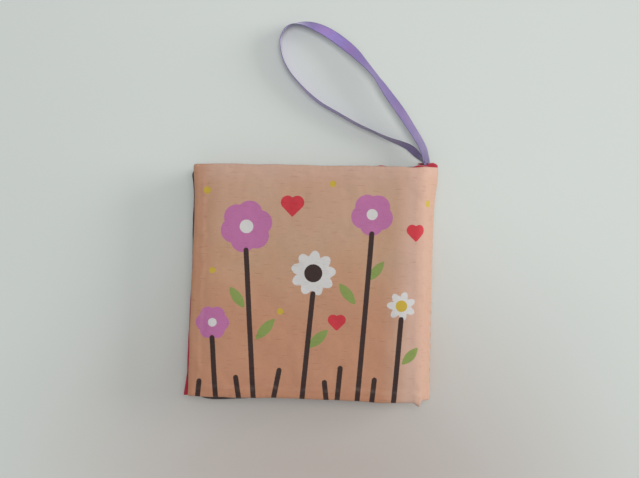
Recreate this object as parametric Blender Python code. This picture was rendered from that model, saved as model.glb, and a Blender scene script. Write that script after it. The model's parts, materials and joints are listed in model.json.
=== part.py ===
"""Crinkle cloth book for a baby: four padded leaves sewn together along one fold, with a ribbon loop.

Metres. The book lies closed, front cover up. +X runs from the fore edge to the spine, +Y along the
spine to the head of the book, +Z up. The origin is under the middle of the book, on the table.
"""

import math

import bpy
import numpy as np

# The book
book_width = 0.110  # front cover, from the fore edge to the outside of the spine
spine_height = 0.108  # head to tail, along the spine
leaf_thickness = 0.0041  # one padded leaf, as pressed in the closed book
piece_gap = 0.0003  # between pieces that touch in the real book
fore_overhang = 0.0020  # how far the longest inner leaf shows past the covers

# Cloth and seams
cloth_thickness = 0.0005
edge_round = 0.0130  # from a seam in to the full thickness of the leaf
seam_roll = 0.0012  # the first, steep part of that
allowance_width = 0.0055  # cloth turned in along each seam, which shows as a low ridge
allowance_rise = 0.0003
allowance_slope = 0.0010

# The spine
fold_slot = 0.0011  # between the two covers' cloth at the fold, where the binding stitch runs
leaf_root = 0.0024  # from the fold to the sewn edge of an inner leaf
spine_taper = 0.0090  # an inner leaf thins over this length towards the fold

# Filling
filling_inset = 0.0060  # film and wadding stop short of the seams
cover_filling_start = 0.0080  # and of the fold, measured round the spine
leaf_filling_start = 0.0070
film_thickness = 0.0003
film_crinkle = 0.0004

# Threads
seam_thread_radius = 0.00025
seam_thread_inset = 0.0020
seam_thread_corner = 0.0030
seam_thread_start = 0.0040
binding_thread_radius = 0.00025
stitch_length = 0.0052
stitch_depth = 0.00135  # how far a stitch dips in from the outside of the spine
stitch_margin = 0.0030  # the row starts and ends this far inside head and tail

# The hanging loop and its bar tack
ribbon_width = 0.0060
ribbon_thickness = 0.00035
tack_length = 0.0064
tack_depth = 0.0010
tack_height = 0.0022
tack_round = 0.0004
tack_inset = 0.0040  # from the outside of the spine to the middle of the tack
tack_level = 0.0047  # height of its middle over the table
ribbon_end_lift = 0.0006  # the ribbon's first end lies this far above that level and its last end below,
ribbon_end_side = 0.00095  # and this far to either side of the tack's middle

# The ribbon's centre line: across, along and above the table, from the middle of the tack
ribbon_route = (
    (-0.0018, 0.0059, 0.0056),
    (-0.0050, 0.0109, 0.0060),
    (-0.0084, 0.0157, 0.0062),
    (-0.0117, 0.0205, 0.0062),
    (-0.0179, 0.0296, 0.0060),
    (-0.0246, 0.0393, 0.0056),
    (-0.0326, 0.0480, 0.0050),
    (-0.0383, 0.0527, 0.0045),
    (-0.0439, 0.0564, 0.0041),
    (-0.0491, 0.0591, 0.0037),
    (-0.0547, 0.0614, 0.0034),
    (-0.0594, 0.0625, 0.0032),
    (-0.0636, 0.0622, 0.0031),
    (-0.0665, 0.0604, 0.0031),
    (-0.0683, 0.0572, 0.0031),
    (-0.0687, 0.0535, 0.0031),
    (-0.0672, 0.0466, 0.0031),
    (-0.0639, 0.0408, 0.0031),
    (-0.0604, 0.0363, 0.0031),
    (-0.0551, 0.0308, 0.0031),
    (-0.0491, 0.0261, 0.0031),
    (-0.0426, 0.0225, 0.0031),
    (-0.0317, 0.0167, 0.0031),
    (-0.0242, 0.0135, 0.0031),
    (-0.0166, 0.0106, 0.0032),
    (-0.0107, 0.0084, 0.0035),
    (-0.0065, 0.0057, 0.0039),
)
ribbon_stations = 72
curve_steps = 12  # between two points of the route
# How the ribbon turns about its own line, in quarter turns: it leans one way, lies flat on the far
# side, and stands on its edge from the bend on
tilt_route_shares = (
    0.0, 0.06, 0.14, 0.25, 0.34, 0.38, 0.42, 0.46, 0.49, 0.60, 0.67, 0.74, 0.86, 0.90, 0.95, 1.0
)
tilt_turn_shares = (
    -0.62, -0.50, -0.36, -0.56, 0.0, 0.10, 0.36, 0.86, 0.98, 1.02, 1.12, 1.03, 1.02, 1.10, 1.20, 1.03
)

# The free edges of each leaf: share of the way along the edge, and how far it lies outside a plain
# rectangle there, as a share of fore_overhang. Head and tail start at the fold, and fore at the tail.
edge_shape_shares = {
    "back_cover": {
        "head": ((0.0, 0.0), (0.12, 0.0), (0.26, -0.6), (0.52, -1.05), (1.0, -1.15)),
        "tail": ((0.0, 0.3), (0.05, 0.0), (0.17, -0.3), (0.52, -0.75), (1.0, -1.0)),
        "fore": ((0.0, -0.1), (0.31, -0.35), (0.64, -0.45), (1.0, -0.2)),
    },
    "lower_leaf": {
        "head": ((0.0, 0.0), (0.19, -0.75), (0.56, -1.3), (1.0, -1.6)),
        "tail": ((0.0, -0.2), (0.56, 0.15), (0.78, 0.6), (0.91, 1.15), (0.95, 0.9), (1.0, -0.3)),
        "fore": ((0.0, -0.4), (0.08, 0.05), (0.5, 0.3), (0.85, 0.35), (0.94, 0.75), (1.0, -0.75)),
    },
    "upper_leaf": {
        "head": ((0.0, 0.65), (0.043, 0.0), (0.077, -0.6), (0.13, -0.95), (0.65, -1.25), (1.0, -1.35)),
        "tail": ((0.0, -0.2), (0.28, -0.6), (0.56, -0.8), (0.88, -0.6), (0.97, -0.25), (1.0, -0.1)),
        "fore": ((0.0, 1.0), (0.06, 0.8), (0.1, 0.62), (0.21, 0.55), (0.64, -0.15), (1.0, -1.1)),
    },
    "front_cover": {
        "head": ((0.0, -0.3), (0.12, -0.52), (0.38, -0.8), (0.55, -0.88), (1.0, -1.0)),
        "tail": ((0.0, 0.3), (0.035, 0.1), (0.055, -0.15), (0.105, 0.2), (0.24, 0.28), (0.4, -0.05),
                 (0.6, -0.3), (0.8, -0.15), (1.0, -0.45)),
        "fore": ((0.0, 0.1), (0.29, 0.0), (0.58, -0.35), (0.75, -0.55), (0.85, -0.5), (1.0, -0.15)),
    },
}

# How finely cloth and thread are divided
taper_points = 6
open_points = 7
curl_columns = 6
taper_columns = 3
open_columns = 3
open_rows = 4
filling_taper_columns = 2
filling_columns = 8
filling_rows = 8
stitch_points_shares = (0.0, 0.55, 0.70, 0.85)  # of one stitch: out, out, in, in
sharp_angle = 40  # degrees

# Sizes that follow
seam_thickness = 2 * cloth_thickness + piece_gap
leaf_pitch = leaf_thickness + piece_gap
half_height = 2 * leaf_pitch - piece_gap / 2  # table to the fold, and the radius of the spine
spine_x = (book_width + fore_overhang) / 2
spine_y = 0.0
curl_length = half_height * math.pi / 2
hinge = np.array((spine_x, 0.0, half_height))
edge_steps = np.array(
    (0.0, seam_roll, allowance_width - allowance_slope, allowance_width, edge_round)
)


class Leaf:
    """A padded leaf. Lengths run along it from the fold to its fore edge, and across from tail to head.

    Depth is measured in from the leaf's outer face, which is the one further from the fold's level."""

    def __init__(self, name, is_cover, side):
        self.name = name
        self.is_cover = is_cover
        self.side = side  # +1 above the fold, -1 below it
        self.shapes = {edge: np.array(shape).T for edge, shape in edge_shape_shares[name].items()}
        if is_cover:
            self.start = fold_slot / 2
            self.taper = curl_length
            self.length = curl_length + book_width - half_height
            self.filling_start = cover_filling_start
        else:
            self.start = 0.0
            self.taper = spine_taper
            self.length = book_width - leaf_root
            self.filling_start = leaf_filling_start

    def thickness(self, along):
        """From the bare seam at the fold to the full leaf, as a quarter of a sine."""
        share = np.clip(along / self.taper, 0, 1)
        return seam_thickness + (leaf_thickness - seam_thickness) * np.sin(share * math.pi / 2)

    def outside(self, edge, share):
        """How far a free edge lies outside a plain rectangle, straight between the places of its shape."""
        return fore_overhang * np.interp(share, *self.shapes[edge])

    def head_and_tail(self, along):
        """Y of the head and tail edges."""
        share = np.clip(along / self.length, 0, 1)
        head, tail = self.outside("head", share), self.outside("tail", share)
        return spine_y + spine_height / 2 + head, spine_y - spine_height / 2 - tail

    def length_at(self, share):
        """Length to the fore edge, at a share of the way from tail to head."""
        return self.length + self.outside("fore", share)

    def fullness(self, along, across, length):
        """0 at a seam and 1 inside: the product of a quarter ellipse in from each free edge."""
        head, tail = self.head_and_tail(along)
        full = 1.0
        for distance in (head - across, across - tail, length - along):
            near = 1 - np.clip(distance / edge_round, 0, 1)
            full = full * np.sqrt(1 - near**2)
        return full

    def draw_in(self, along, across, length):
        """How far each cloth falls from the leaf's faces towards its middle."""
        full = self.fullness(along, across, length)
        return (self.thickness(along) - seam_thickness) / 2 * (1 - full)

    def ridge(self, along, across, length):
        """The low ridge over the cloth that is turned in along the free edges."""
        head, tail = self.head_and_tail(along)
        distance = np.minimum(np.minimum(head - across, across - tail), length - along)
        up = np.clip(distance / seam_roll, 0, 1)
        down = np.clip((allowance_width - distance) / allowance_slope, 0, 1)
        open_share = np.clip(along / self.taper, 0, 1)
        return allowance_rise * up * down * open_share

    def place(self, along, across, depth):
        """Points relative to the hinge, with one row for each place."""
        if self.is_cover:
            turn = np.minimum(along / half_height, math.pi / 2)
            run = np.maximum(along - curl_length, 0)
            radius = half_height - depth
            x = radius * np.cos(turn) - half_height - run
            rise = radius * np.sin(turn)
        else:
            x = -leaf_root - along
            rise = piece_gap / 2 + self.thickness(along) - depth
        return np.stack((x, across, self.side * rise), axis=-1)

    def sheet_grid(self):
        """Lengths, across places and free lengths of a cloth panel's grid: close lines at the seams."""
        if self.is_cover:
            near = np.linspace(self.start, curl_length, curl_columns + 1)
        else:
            near = np.linspace(self.start, spine_taper, taper_columns + 1)
        far = self.length - edge_steps[::-1]
        middle = np.linspace(near[-1], far[0], open_columns + 1)[1:-1]
        nominal = np.concatenate((near, middle, far))
        return self.grid(nominal, edge_steps, len(near), open_rows)

    def grid(self, nominal, steps, fixed, rows):
        """Grid over the leaf: the first columns keep their length, the rest follow the fore edge."""
        head, tail = self.head_and_tail(nominal)
        shares = np.linspace(0, 1, rows + 1)[1:-1]
        low, high = tail + steps[-1], head - steps[-1]
        across = np.concatenate(
            (
                tail + steps[:, None],
                low + (high - low) * shares[:, None],
                head - steps[::-1, None],
            )
        )
        share = (across - tail) / (head - tail)
        length = self.length_at(share)
        stretch = np.zeros_like(nominal)
        stretch[fixed:] = np.minimum(
            (nominal[fixed:] - nominal[fixed - 1])
            / (self.length - edge_round - nominal[fixed - 1]),
            1,
        )
        along = nominal + (length - self.length) * stretch
        return along, across, length

    def filling_grid(self):
        """The same for what lies inside, evenly divided and clear of the seams."""
        near = np.linspace(self.filling_start, self.taper, filling_taper_columns + 1)
        far = np.linspace(self.taper, self.length - filling_inset, filling_columns + 1)[1:]
        nominal = np.concatenate((near, far))
        head, tail = self.head_and_tail(nominal)
        shares = np.linspace(0, 1, filling_rows + 1)[:, None]
        low, high = tail + filling_inset, head - filling_inset
        across = low + (high - low) * shares
        length = self.length_at((across - tail) / (head - tail))
        stretch = np.clip((nominal - self.taper) / (far[-1] - self.taper), 0, 1)
        return nominal + (length - self.length) * stretch, across, length


def make_material(name, colour, roughness, metallic=0.0):
    material = bpy.data.materials.new(name)
    material.use_nodes = True
    shader = material.node_tree.nodes["Principled BSDF"]
    shader.inputs["Base Color"].default_value = (*colour, 1.0)
    shader.inputs["Roughness"].default_value = roughness
    shader.inputs["Metallic"].default_value = metallic
    material.diffuse_color = (*colour, 1.0)
    return material


def add_object(name, data, parent, material):
    piece = bpy.data.objects.new(name, data)
    bpy.context.scene.collection.objects.link(piece)
    piece.parent = parent
    data.materials.append(material)
    return piece


def add_hinge(name, parent, location):
    """An empty on the fold: everything parented to it turns about its Y axis."""
    empty = bpy.data.objects.new(name, None)
    empty.empty_display_size = leaf_pitch
    empty.location = location
    empty.parent = parent
    bpy.context.scene.collection.objects.link(empty)
    return empty


def closed_sheet(name, outer, inner, parent, material):
    """One closed body between two grids of points that have the same rows and columns."""
    rows, columns = outer.shape[:2]
    number = np.arange(rows * columns).reshape(rows, columns)
    corners = np.stack(
        (number[:-1, :-1], number[:-1, 1:], number[1:, 1:], number[1:, :-1]), axis=-1
    ).reshape(-1, 4)
    halves = np.concatenate((corners[:, [0, 1, 2]], corners[:, [0, 2, 3]]))
    rim = np.concatenate(
        (number[0, :-1], number[:-1, -1], number[-1, :0:-1], number[:0:-1, 0])
    )
    after = np.roll(rim, -1)
    below = rows * columns
    wall = np.concatenate(
        (
            np.stack((after, rim, rim + below), axis=-1),
            np.stack((after, rim + below, after + below), axis=-1),
        )
    )
    faces = np.concatenate((halves, halves[:, ::-1] + below, wall))
    points = np.concatenate((outer.reshape(-1, 3), inner.reshape(-1, 3)))
    volume = np.einsum(
        "ij,ij->i", points[faces[:, 0]], np.cross(points[faces[:, 1]], points[faces[:, 2]])
    ).sum()
    if volume < 0:
        faces = faces[:, ::-1]
    mesh = bpy.data.meshes.new(name)
    mesh.from_pydata(points.tolist(), [], faces.tolist())
    mesh.shade_smooth()
    mesh.set_sharp_from_angle(angle=math.radians(sharp_angle))
    return add_object(name, mesh, parent, material)


def add_thread(name, points, radius, parent, material):
    """A thread along a line of points, as a thin closed tube."""
    curve = bpy.data.curves.new(name, "CURVE")
    curve.dimensions = "3D"
    curve.bevel_depth = radius
    curve.bevel_resolution = 1
    curve.use_fill_caps = True
    spline = curve.splines.new("POLY")
    spline.points.add(len(points) - 1)
    for point, place in zip(spline.points, points):
        point.co = (*place, 1.0)
    return add_object(name, curve, parent, material)


def add_cloths(leaf, names, parent, materials):
    """The two cloth panels of a leaf, which meet in the seam along its free edges."""
    along, across, length = leaf.sheet_grid()
    fall = leaf.draw_in(along, across, length)
    ridge = leaf.ridge(along, across, length)
    thick = leaf.thickness(along)
    outer = leaf.place(along, across, fall - ridge)
    lining = leaf.place(along, across, fall + cloth_thickness)
    closed_sheet(names[0], outer, lining, parent, materials[0])
    lining = leaf.place(along, across, thick - fall - cloth_thickness)
    inner = leaf.place(along, across, thick - fall + ridge)
    closed_sheet(names[1], lining, inner, parent, materials[1])


def add_filling(leaf, parent, film_material, wadding_material):
    """The crinkle film under the outer cloth, and the wadding pad between it and the inner cloth."""
    along, across, length = leaf.filling_grid()
    fall = leaf.draw_in(along, across, length)
    top = fall + cloth_thickness + piece_gap
    rows, columns = np.indices(along.shape)
    crumple = film_crinkle * ((rows + columns) % 2)
    film_top = leaf.place(along, across, top + crumple)
    film_back = leaf.place(along, across, top + crumple + film_thickness)
    closed_sheet(leaf.name + "_crinkle_film", film_top, film_back, parent, film_material)
    pad_top = leaf.place(along, across, top + film_crinkle + film_thickness + piece_gap)
    bottom = leaf.thickness(along) - fall - cloth_thickness - piece_gap
    pad_back = leaf.place(along, across, bottom)
    closed_sheet(leaf.name + "_wadding", pad_top, pad_back, parent, wadding_material)


def add_seam_thread(leaf, parent, material):
    """The lockstitch thread inside the turned seam, along the tail, round the fore edge to the head."""
    corner = seam_thread_corner
    end = leaf.length - seam_thread_inset
    head, tail = leaf.head_and_tail(np.array(end))
    low, high = tail + seam_thread_inset, head - seam_thread_inset
    tapered = np.linspace(seam_thread_start, leaf.taper, taper_points)
    runs = np.concatenate((tapered, np.linspace(leaf.taper, end - corner, open_points)[1:]))
    run_head, run_tail = leaf.head_and_tail(runs)
    bend = corner * (1 - math.sqrt(0.5))
    along = np.concatenate(
        (runs, [end - bend], np.full(open_points, end), [end - bend], runs[::-1])
    )
    across = np.concatenate(
        (
            run_tail + seam_thread_inset,
            [low + bend],
            np.linspace(low + corner, high - corner, open_points),
            [high - bend],
            run_head[::-1] - seam_thread_inset,
        )
    )
    head, tail = leaf.head_and_tail(along)
    share = (across - tail) / (head - tail)
    along = along + (leaf.length_at(share) - leaf.length) * (along / end)
    points = leaf.place(along, across, leaf.thickness(along) / 2)
    add_thread(leaf.name + "_seam_thread", points, seam_thread_radius, parent, material)


def add_leaf(leaf, cloth_names, parent, cloth_materials, shared):
    add_cloths(leaf, [leaf.name + "_" + name for name in cloth_names], parent, cloth_materials)
    add_filling(leaf, parent, shared["film"], shared["wadding"])
    add_seam_thread(leaf, parent, shared["thread"])


def add_binding_stitch(parent, material):
    """Running stitches along the fold: over the outside of the spine, then in towards the leaves."""
    room = spine_height - 2 * stitch_margin
    count = int(room / stitch_length)
    starts = spine_y - room / 2 + room * np.arange(count) / count
    pitch = room / count
    across = (starts[:, None] + pitch * np.array(stitch_points_shares)).reshape(-1)
    out = -binding_thread_radius
    dips = np.tile((out, out, out - stitch_depth, out - stitch_depth), count)
    points = np.stack((dips, across, np.zeros_like(dips)), axis=-1)
    add_thread("binding_stitch", points, binding_thread_radius, parent, material)


def smooth_route(points, count):
    """Evenly spaced points on a smooth curve (Catmull-Rom) through the given ones."""
    points = np.array(points, dtype=float)
    ends = (2 * points[:1] - points[1:2], points, 2 * points[-1:] - points[-2:-1])
    padded = np.concatenate(ends)
    steps = np.linspace(0, 1, curve_steps, endpoint=False)[:, None, None]
    before, first, second, after = padded[:-3], padded[1:-2], padded[2:-1], padded[3:]
    curve = 0.5 * (
        2 * first
        + (second - before) * steps
        + (2 * before - 5 * first + 4 * second - after) * steps**2
        + (3 * first - before - 3 * second + after) * steps**3
    )
    line = np.concatenate((curve.transpose(1, 0, 2).reshape(-1, 3), points[-1:]))
    reached = np.concatenate(([0], np.cumsum(np.linalg.norm(np.diff(line, axis=0), axis=1))))
    wanted = np.linspace(0, reached[-1], count)
    return np.stack([np.interp(wanted, reached, line[:, i]) for i in range(3)], axis=-1)


def ribbon_line():
    """The whole route of the ribbon in the book's frame, from one end in the tack to the other."""
    root = np.array(
        (spine_x - tack_inset, spine_y + spine_height / 2 + 2 * piece_gap + tack_depth, 0)
    )
    first = root + (ribbon_end_side, 0, tack_level + ribbon_end_lift)
    last = root + (-ribbon_end_side, 0, tack_level - ribbon_end_lift)
    return smooth_route([first, *(root + place for place in ribbon_route), last], ribbon_stations)


def add_ribbon(parent, material):
    """A flat ribbon swept along its line: it turns from lying flat to standing on its edge."""
    line = ribbon_line()
    reached = np.linspace(0, 1, len(line))
    tilt = np.interp(reached, tilt_route_shares, tilt_turn_shares) * math.pi / 2
    heading = np.gradient(line, axis=0)
    heading /= np.linalg.norm(heading, axis=1)[:, None]
    heading[[0, -1]] = (0, 1, 0), (0, -1, 0)
    level = np.cross(heading, (0, 0, 1))
    level /= np.linalg.norm(level, axis=1)[:, None]
    upright = np.cross(level, heading)
    across = level * np.cos(tilt)[:, None] + upright * np.sin(tilt)[:, None]
    through = np.cross(heading, across)
    shares = np.array((-0.5, 0.5))
    width = across[:, None] * shares[:, None] * ribbon_width
    front = line[:, None] + width + through[:, None] * ribbon_thickness / 2
    back = line[:, None] + width - through[:, None] * ribbon_thickness / 2
    closed_sheet("hang_loop", front, back, parent, material)
    length = np.linalg.norm(np.diff(line, axis=0), axis=1).sum()
    print(f"ribbon length {length:.4f} m")


def add_tack(parent, material):
    """The bar tack that holds both ribbon ends against the head of the back cover."""
    x, y, z = tack_length / 2, tack_depth / 2, tack_height / 2
    corners = [(i * x, j * y, k * z) for k in (-1, 1) for j in (-1, 1) for i in (-1, 1)]
    sides = [(0, 2, 3, 1), (4, 5, 7, 6), (0, 1, 5, 4), (2, 6, 7, 3), (0, 4, 6, 2), (1, 3, 7, 5)]
    mesh = bpy.data.meshes.new("hang_loop_tack")
    mesh.from_pydata(corners, [], sides)
    tack = add_object("hang_loop_tack", mesh, parent, material)
    tack.location = (
        spine_x - tack_inset,
        spine_y + spine_height / 2 + piece_gap + tack_depth / 2,
        tack_level,
    )
    bevel = tack.modifiers.new("rounded edges", "BEVEL")
    bevel.width = tack_round
    bevel.segments = 2


def main():
    for piece in list(bpy.data.objects):
        bpy.data.objects.remove(piece)

    peach = make_material("cover_cloth", (0.55, 0.33, 0.22), 0.75)
    cream = make_material("page_cloth", (0.78, 0.72, 0.60), 0.80)
    red = make_material("red_cloth", (0.45, 0.03, 0.05), 0.80)
    charcoal = make_material("charcoal_cloth", (0.05, 0.04, 0.04), 0.80)
    satin = make_material("satin", (0.32, 0.24, 0.52), 0.40)
    shared = {
        "film": make_material("crinkle_film", (0.80, 0.82, 0.84), 0.25),
        "wadding": make_material("wadding", (0.85, 0.85, 0.83), 0.95),
        "thread": make_material("thread", (0.60, 0.42, 0.32), 0.60),
    }

    book = add_hinge("book", None, (0, 0, 0))
    fold = add_hinge("back_cover_fold", book, hinge)
    lower_hinge = add_hinge("lower_leaf_hinge", fold, (0, 0, 0))
    upper_hinge = add_hinge("upper_leaf_hinge", lower_hinge, (0, 0, 0))
    front_hinge = add_hinge("front_cover_hinge", upper_hinge, (0, 0, 0))

    cover_cloths = ("outer_cloth", "inner_cloth")
    under_first = ("under_cloth", "upper_cloth")
    upper_first = ("upper_cloth", "under_cloth")
    add_leaf(Leaf("back_cover", True, -1), cover_cloths, fold, (peach, cream), shared)
    add_leaf(Leaf("lower_leaf", False, -1), under_first, lower_hinge, (charcoal, charcoal), shared)
    add_leaf(Leaf("upper_leaf", False, 1), upper_first, upper_hinge, (red, red), shared)
    add_leaf(Leaf("front_cover", True, 1), cover_cloths, front_hinge, (peach, cream), shared)

    add_binding_stitch(fold, shared["thread"])
    add_ribbon(book, satin)
    add_tack(book, shared["thread"])


main()
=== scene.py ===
import json
import math

import bpy
import numpy as np
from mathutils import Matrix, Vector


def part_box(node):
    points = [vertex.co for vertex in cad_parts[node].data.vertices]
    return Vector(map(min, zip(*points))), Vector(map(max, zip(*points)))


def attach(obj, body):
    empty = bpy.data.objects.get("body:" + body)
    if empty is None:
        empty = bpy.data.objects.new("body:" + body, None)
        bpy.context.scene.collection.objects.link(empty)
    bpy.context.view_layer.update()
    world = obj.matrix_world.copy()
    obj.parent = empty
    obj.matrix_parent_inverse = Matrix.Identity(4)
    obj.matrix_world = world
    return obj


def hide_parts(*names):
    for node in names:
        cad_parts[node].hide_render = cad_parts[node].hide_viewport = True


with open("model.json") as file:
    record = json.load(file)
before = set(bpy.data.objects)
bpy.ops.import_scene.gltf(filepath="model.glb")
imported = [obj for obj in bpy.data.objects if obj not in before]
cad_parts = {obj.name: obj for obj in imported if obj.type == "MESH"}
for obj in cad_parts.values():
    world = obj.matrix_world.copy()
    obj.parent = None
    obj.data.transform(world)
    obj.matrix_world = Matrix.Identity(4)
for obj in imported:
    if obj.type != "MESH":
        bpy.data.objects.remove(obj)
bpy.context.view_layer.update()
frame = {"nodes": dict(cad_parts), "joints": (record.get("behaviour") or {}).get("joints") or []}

foldX, foldY, foldZ = frame["joints"][0]["pos_m"]  # every leaf turns about this line
mm = 0.001
print("frame loaded:", len(frame["nodes"]), "nodes")


# The camera looks straight down on the closed book, turned a little, as a hand-held one is.
view = {
    "over": (3.98 * mm, 19.0 * mm),  # the point on the cover under the middle of the picture
    "distance": 400 * mm,            # from the top of the cover
    "turn": 1.2,                     # degrees
    "pixelsPerMetre": 2220,          # on the cover, in a picture this many pixels wide:
    "imageWidth": 639,
    "sensorWidth": 36,               # in millimetres
    "sees": (0.01, 20),              # the nearest and the farthest, in metres
}


def addCamera():
    # the focal length is to the sensor as the distance is to the width that the picture takes in
    data = bpy.data.cameras.new("camera")
    data.sensor_width = view["sensorWidth"]
    data.lens = view["distance"] * view["pixelsPerMetre"] / view["imageWidth"] * data.sensor_width
    data.clip_start, data.clip_end = view["sees"]
    camera = bpy.data.objects.new("camera", data)
    camera.location = (*view["over"], 2 * foldZ + view["distance"])
    camera.rotation_euler = (0, 0, math.radians(view["turn"]))
    bpy.context.scene.collection.objects.link(camera)
    bpy.context.scene.camera = camera


# Small helpers for arrays, meshes and node trees
def ease(low, high, value):
    # 0 below low, 1 above high, and a smooth cubic between them
    share = np.clip((value - low) / (high - low), 0, 1)
    return share * share * (3 - 2 * share)


def ripples(first, second, seed, longest, shortest, count=28):
    # the sum of sine waves in random directions, weaker the shorter they are, between about -1 and 1
    rng = np.random.default_rng(seed)
    lengths = np.geomspace(longest, shortest, count)
    turns = rng.uniform(0, math.pi, count)
    starts = rng.uniform(0, 2 * math.pi, count)
    total = np.zeros(np.broadcast(first, second).shape)
    for length, turn, start in zip(lengths, turns, starts):
        phase = (first * math.cos(turn) + second * math.sin(turn)) * 2 * math.pi / length
        total += (length / longest) ** 0.5 * np.sin(phase + start)
    return total / math.sqrt(count / 2)


def catmullRom(points, count, between=24):
    # evenly spaced points on the smooth curve through the given ones
    points = np.array(points, dtype=float)
    padded = np.concatenate((2 * points[:1] - points[1:2], points, 2 * points[-1:] - points[-2:-1]))
    step = np.linspace(0, 1, between, endpoint=False)[:, None, None]
    before, here, there, after = padded[:-3], padded[1:-2], padded[2:-1], padded[3:]
    curve = 0.5 * (2 * here + (there - before) * step
                   + (2 * before - 5 * here + 4 * there - after) * step ** 2
                   + (3 * here - before - 3 * there + after) * step ** 3)
    line = np.concatenate((curve.transpose(1, 0, 2).reshape(-1, 3), points[-1:]))
    reached = np.concatenate(([0], np.cumsum(np.linalg.norm(np.diff(line, axis=0), axis=1))))
    wanted = np.linspace(0, reached[-1], count)
    return np.stack([np.interp(wanted, reached, line[:, axis]) for axis in range(3)], axis=-1)


def fillMesh(name, points, faces, flat, values=None):
    # faces index the points; flat is the place of each point on the cloth or thread, in metres
    mesh = bpy.data.meshes.new(name)
    mesh.from_pydata(points.reshape(-1, 3), [], faces)
    corners = np.empty(len(mesh.loops), dtype=np.int32)
    mesh.loops.foreach_get("vertex_index", corners)
    layer = mesh.uv_layers.new(name="flat")
    layer.data.foreach_set("uv", flat.reshape(-1, 2)[corners].astype(np.float32).ravel())
    for key, value in (values or {}).items():
        attribute = mesh.attributes.new(key, "FLOAT", "POINT")
        attribute.data.foreach_set("value", value.astype(np.float32).ravel())
    mesh.shade_smooth()
    piece = bpy.data.objects.new(name, mesh)
    bpy.context.scene.collection.objects.link(piece)
    return piece


def gridFaces(rows, columns, turned=False, closed=False):
    # quads over a grid of points; a closed grid joins its last column to its first
    number = np.arange(rows * columns).reshape(rows, columns)
    if closed:
        number = np.concatenate((number, number[:, :1]), axis=1)
    quads = np.stack((number[:-1, :-1], number[:-1, 1:], number[1:, 1:], number[1:, :-1]), axis=-1)
    quads = quads.reshape(-1, 4)
    return quads[:, ::-1] if turned else quads


def sweptMesh(name, rings, flat, values=None):
    # a closed skin over rings of points, with a fan at each end
    stations, around = rings.shape[:2]
    skin = gridFaces(stations, around, closed=True)
    middle = np.stack((rings[0].mean(0), rings[-1].mean(0)))
    ends = []
    for hub, ring in ((stations * around, 0), (stations * around + 1, stations - 1)):
        first = np.arange(around) + ring * around
        fan = np.stack((first, np.roll(first, -1), np.full(around, hub)), axis=-1)
        ends.append(fan[:, ::-1] if ring == 0 else fan)
    points = np.concatenate((rings.reshape(-1, 3), middle))
    flat = np.concatenate((flat.reshape(-1, 2), flat[[0, -1], 0]))
    if values:
        values = {key: np.concatenate((value.ravel(), value[[0, -1], 0])) for key, value in values.items()}
    faces = [*skin.tolist(), *ends[0].tolist(), *ends[1].tolist()]
    volume = np.einsum("ij,ij->i", points[skin[:, 0]], np.cross(points[skin[:, 1]], points[skin[:, 2]]))
    volume = volume.sum() + np.einsum(
        "ij,ij->i", points[skin[:, 0]], np.cross(points[skin[:, 2]], points[skin[:, 3]])).sum()
    if volume < 0:
        faces = [face[::-1] for face in faces]
    return fillMesh(name, points, faces, flat, values)


def addNode(tree, kind, inputs=None, **settings):
    # inputs by name or number; a socket as the value makes a link
    node = tree.nodes.new(kind)
    for key, value in settings.items():
        setattr(node, key, value)
    for key, value in (inputs or {}).items():
        if isinstance(value, bpy.types.NodeSocket):
            tree.links.new(value, node.inputs[key])
        else:
            node.inputs[key].default_value = value
    return node


def maths(tree, operation, *values, clamp=False):
    # one sum or function of numbers and sockets
    node = addNode(tree, "ShaderNodeMath", dict(enumerate(values)), operation=operation)
    node.use_clamp = clamp
    return node.outputs[0]


def mixColour(tree, factor, first, second, blend="MIX"):
    # the first colour where the factor is 0 and the second where it is 1, or both together as blend says
    node = addNode(tree, "ShaderNodeMix", data_type="RGBA", blend_type=blend)
    for socket, value in ((0, factor), (6, first), (7, second)):
        if isinstance(value, bpy.types.NodeSocket):
            tree.links.new(value, node.inputs[socket])
        else:
            node.inputs[socket].default_value = value if socket == 0 else (*value[:3], 1)
    return node.outputs[2]


def scaleColour(tree, colour, factor):
    # the colour times a number
    grey = addNode(tree, "ShaderNodeCombineColor", {0: factor, 1: factor, 2: factor}).outputs[0]
    return mixColour(tree, 1.0, colour, grey, "MULTIPLY")


def mapRange(tree, value, low, high, start=0.0, end=1.0, smooth=True):
    # start where the value is low, end where it is high, and a smooth cubic or a straight line between them
    inputs = {0: value, 1: low, 2: high, 3: start, 4: end}
    node = addNode(tree, "ShaderNodeMapRange", inputs)
    node.interpolation_type = "SMOOTHSTEP" if smooth else "LINEAR"
    return node.outputs[0]


def newGroup(name, inputs, outputs):
    # sockets are (name, kind, default) going in and (name, kind) coming out
    group = bpy.data.node_groups.new(name, "ShaderNodeTree")
    for label, kind, default in inputs:
        socket = group.interface.new_socket(label, in_out="INPUT", socket_type="NodeSocket" + kind)
        if default is not None:
            socket.default_value = default
    for label, kind in outputs:
        group.interface.new_socket(label, in_out="OUTPUT", socket_type="NodeSocket" + kind)
    return group, group.nodes.new("NodeGroupInput").outputs, group.nodes.new("NodeGroupOutput")


def useGroup(tree, group, inputs):
    # places a shared effect in a tree, with its inputs set or linked
    return addNode(tree, "ShaderNodeGroup", inputs, node_tree=group).outputs


# Effects that several materials share. Grains are noise scales a metre; a pair is where something sets in
# and where it is full.
effects = {
    "weaveUneven": 420, "weaveDrift": 0.00012, "weaveCrossing": 0.35,
    "slubRun": 170.0, "slubRise": 1500.0, "slubPeaks": (0.60, 0.78),
    "inkGrain": 2200, "inkBleed": 0.14, "inkEdge": (0.12, -0.12),
    "rubGrain": 260, "rubBroken": (0.35, 0.65), "toneGrain": 34,
}


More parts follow.
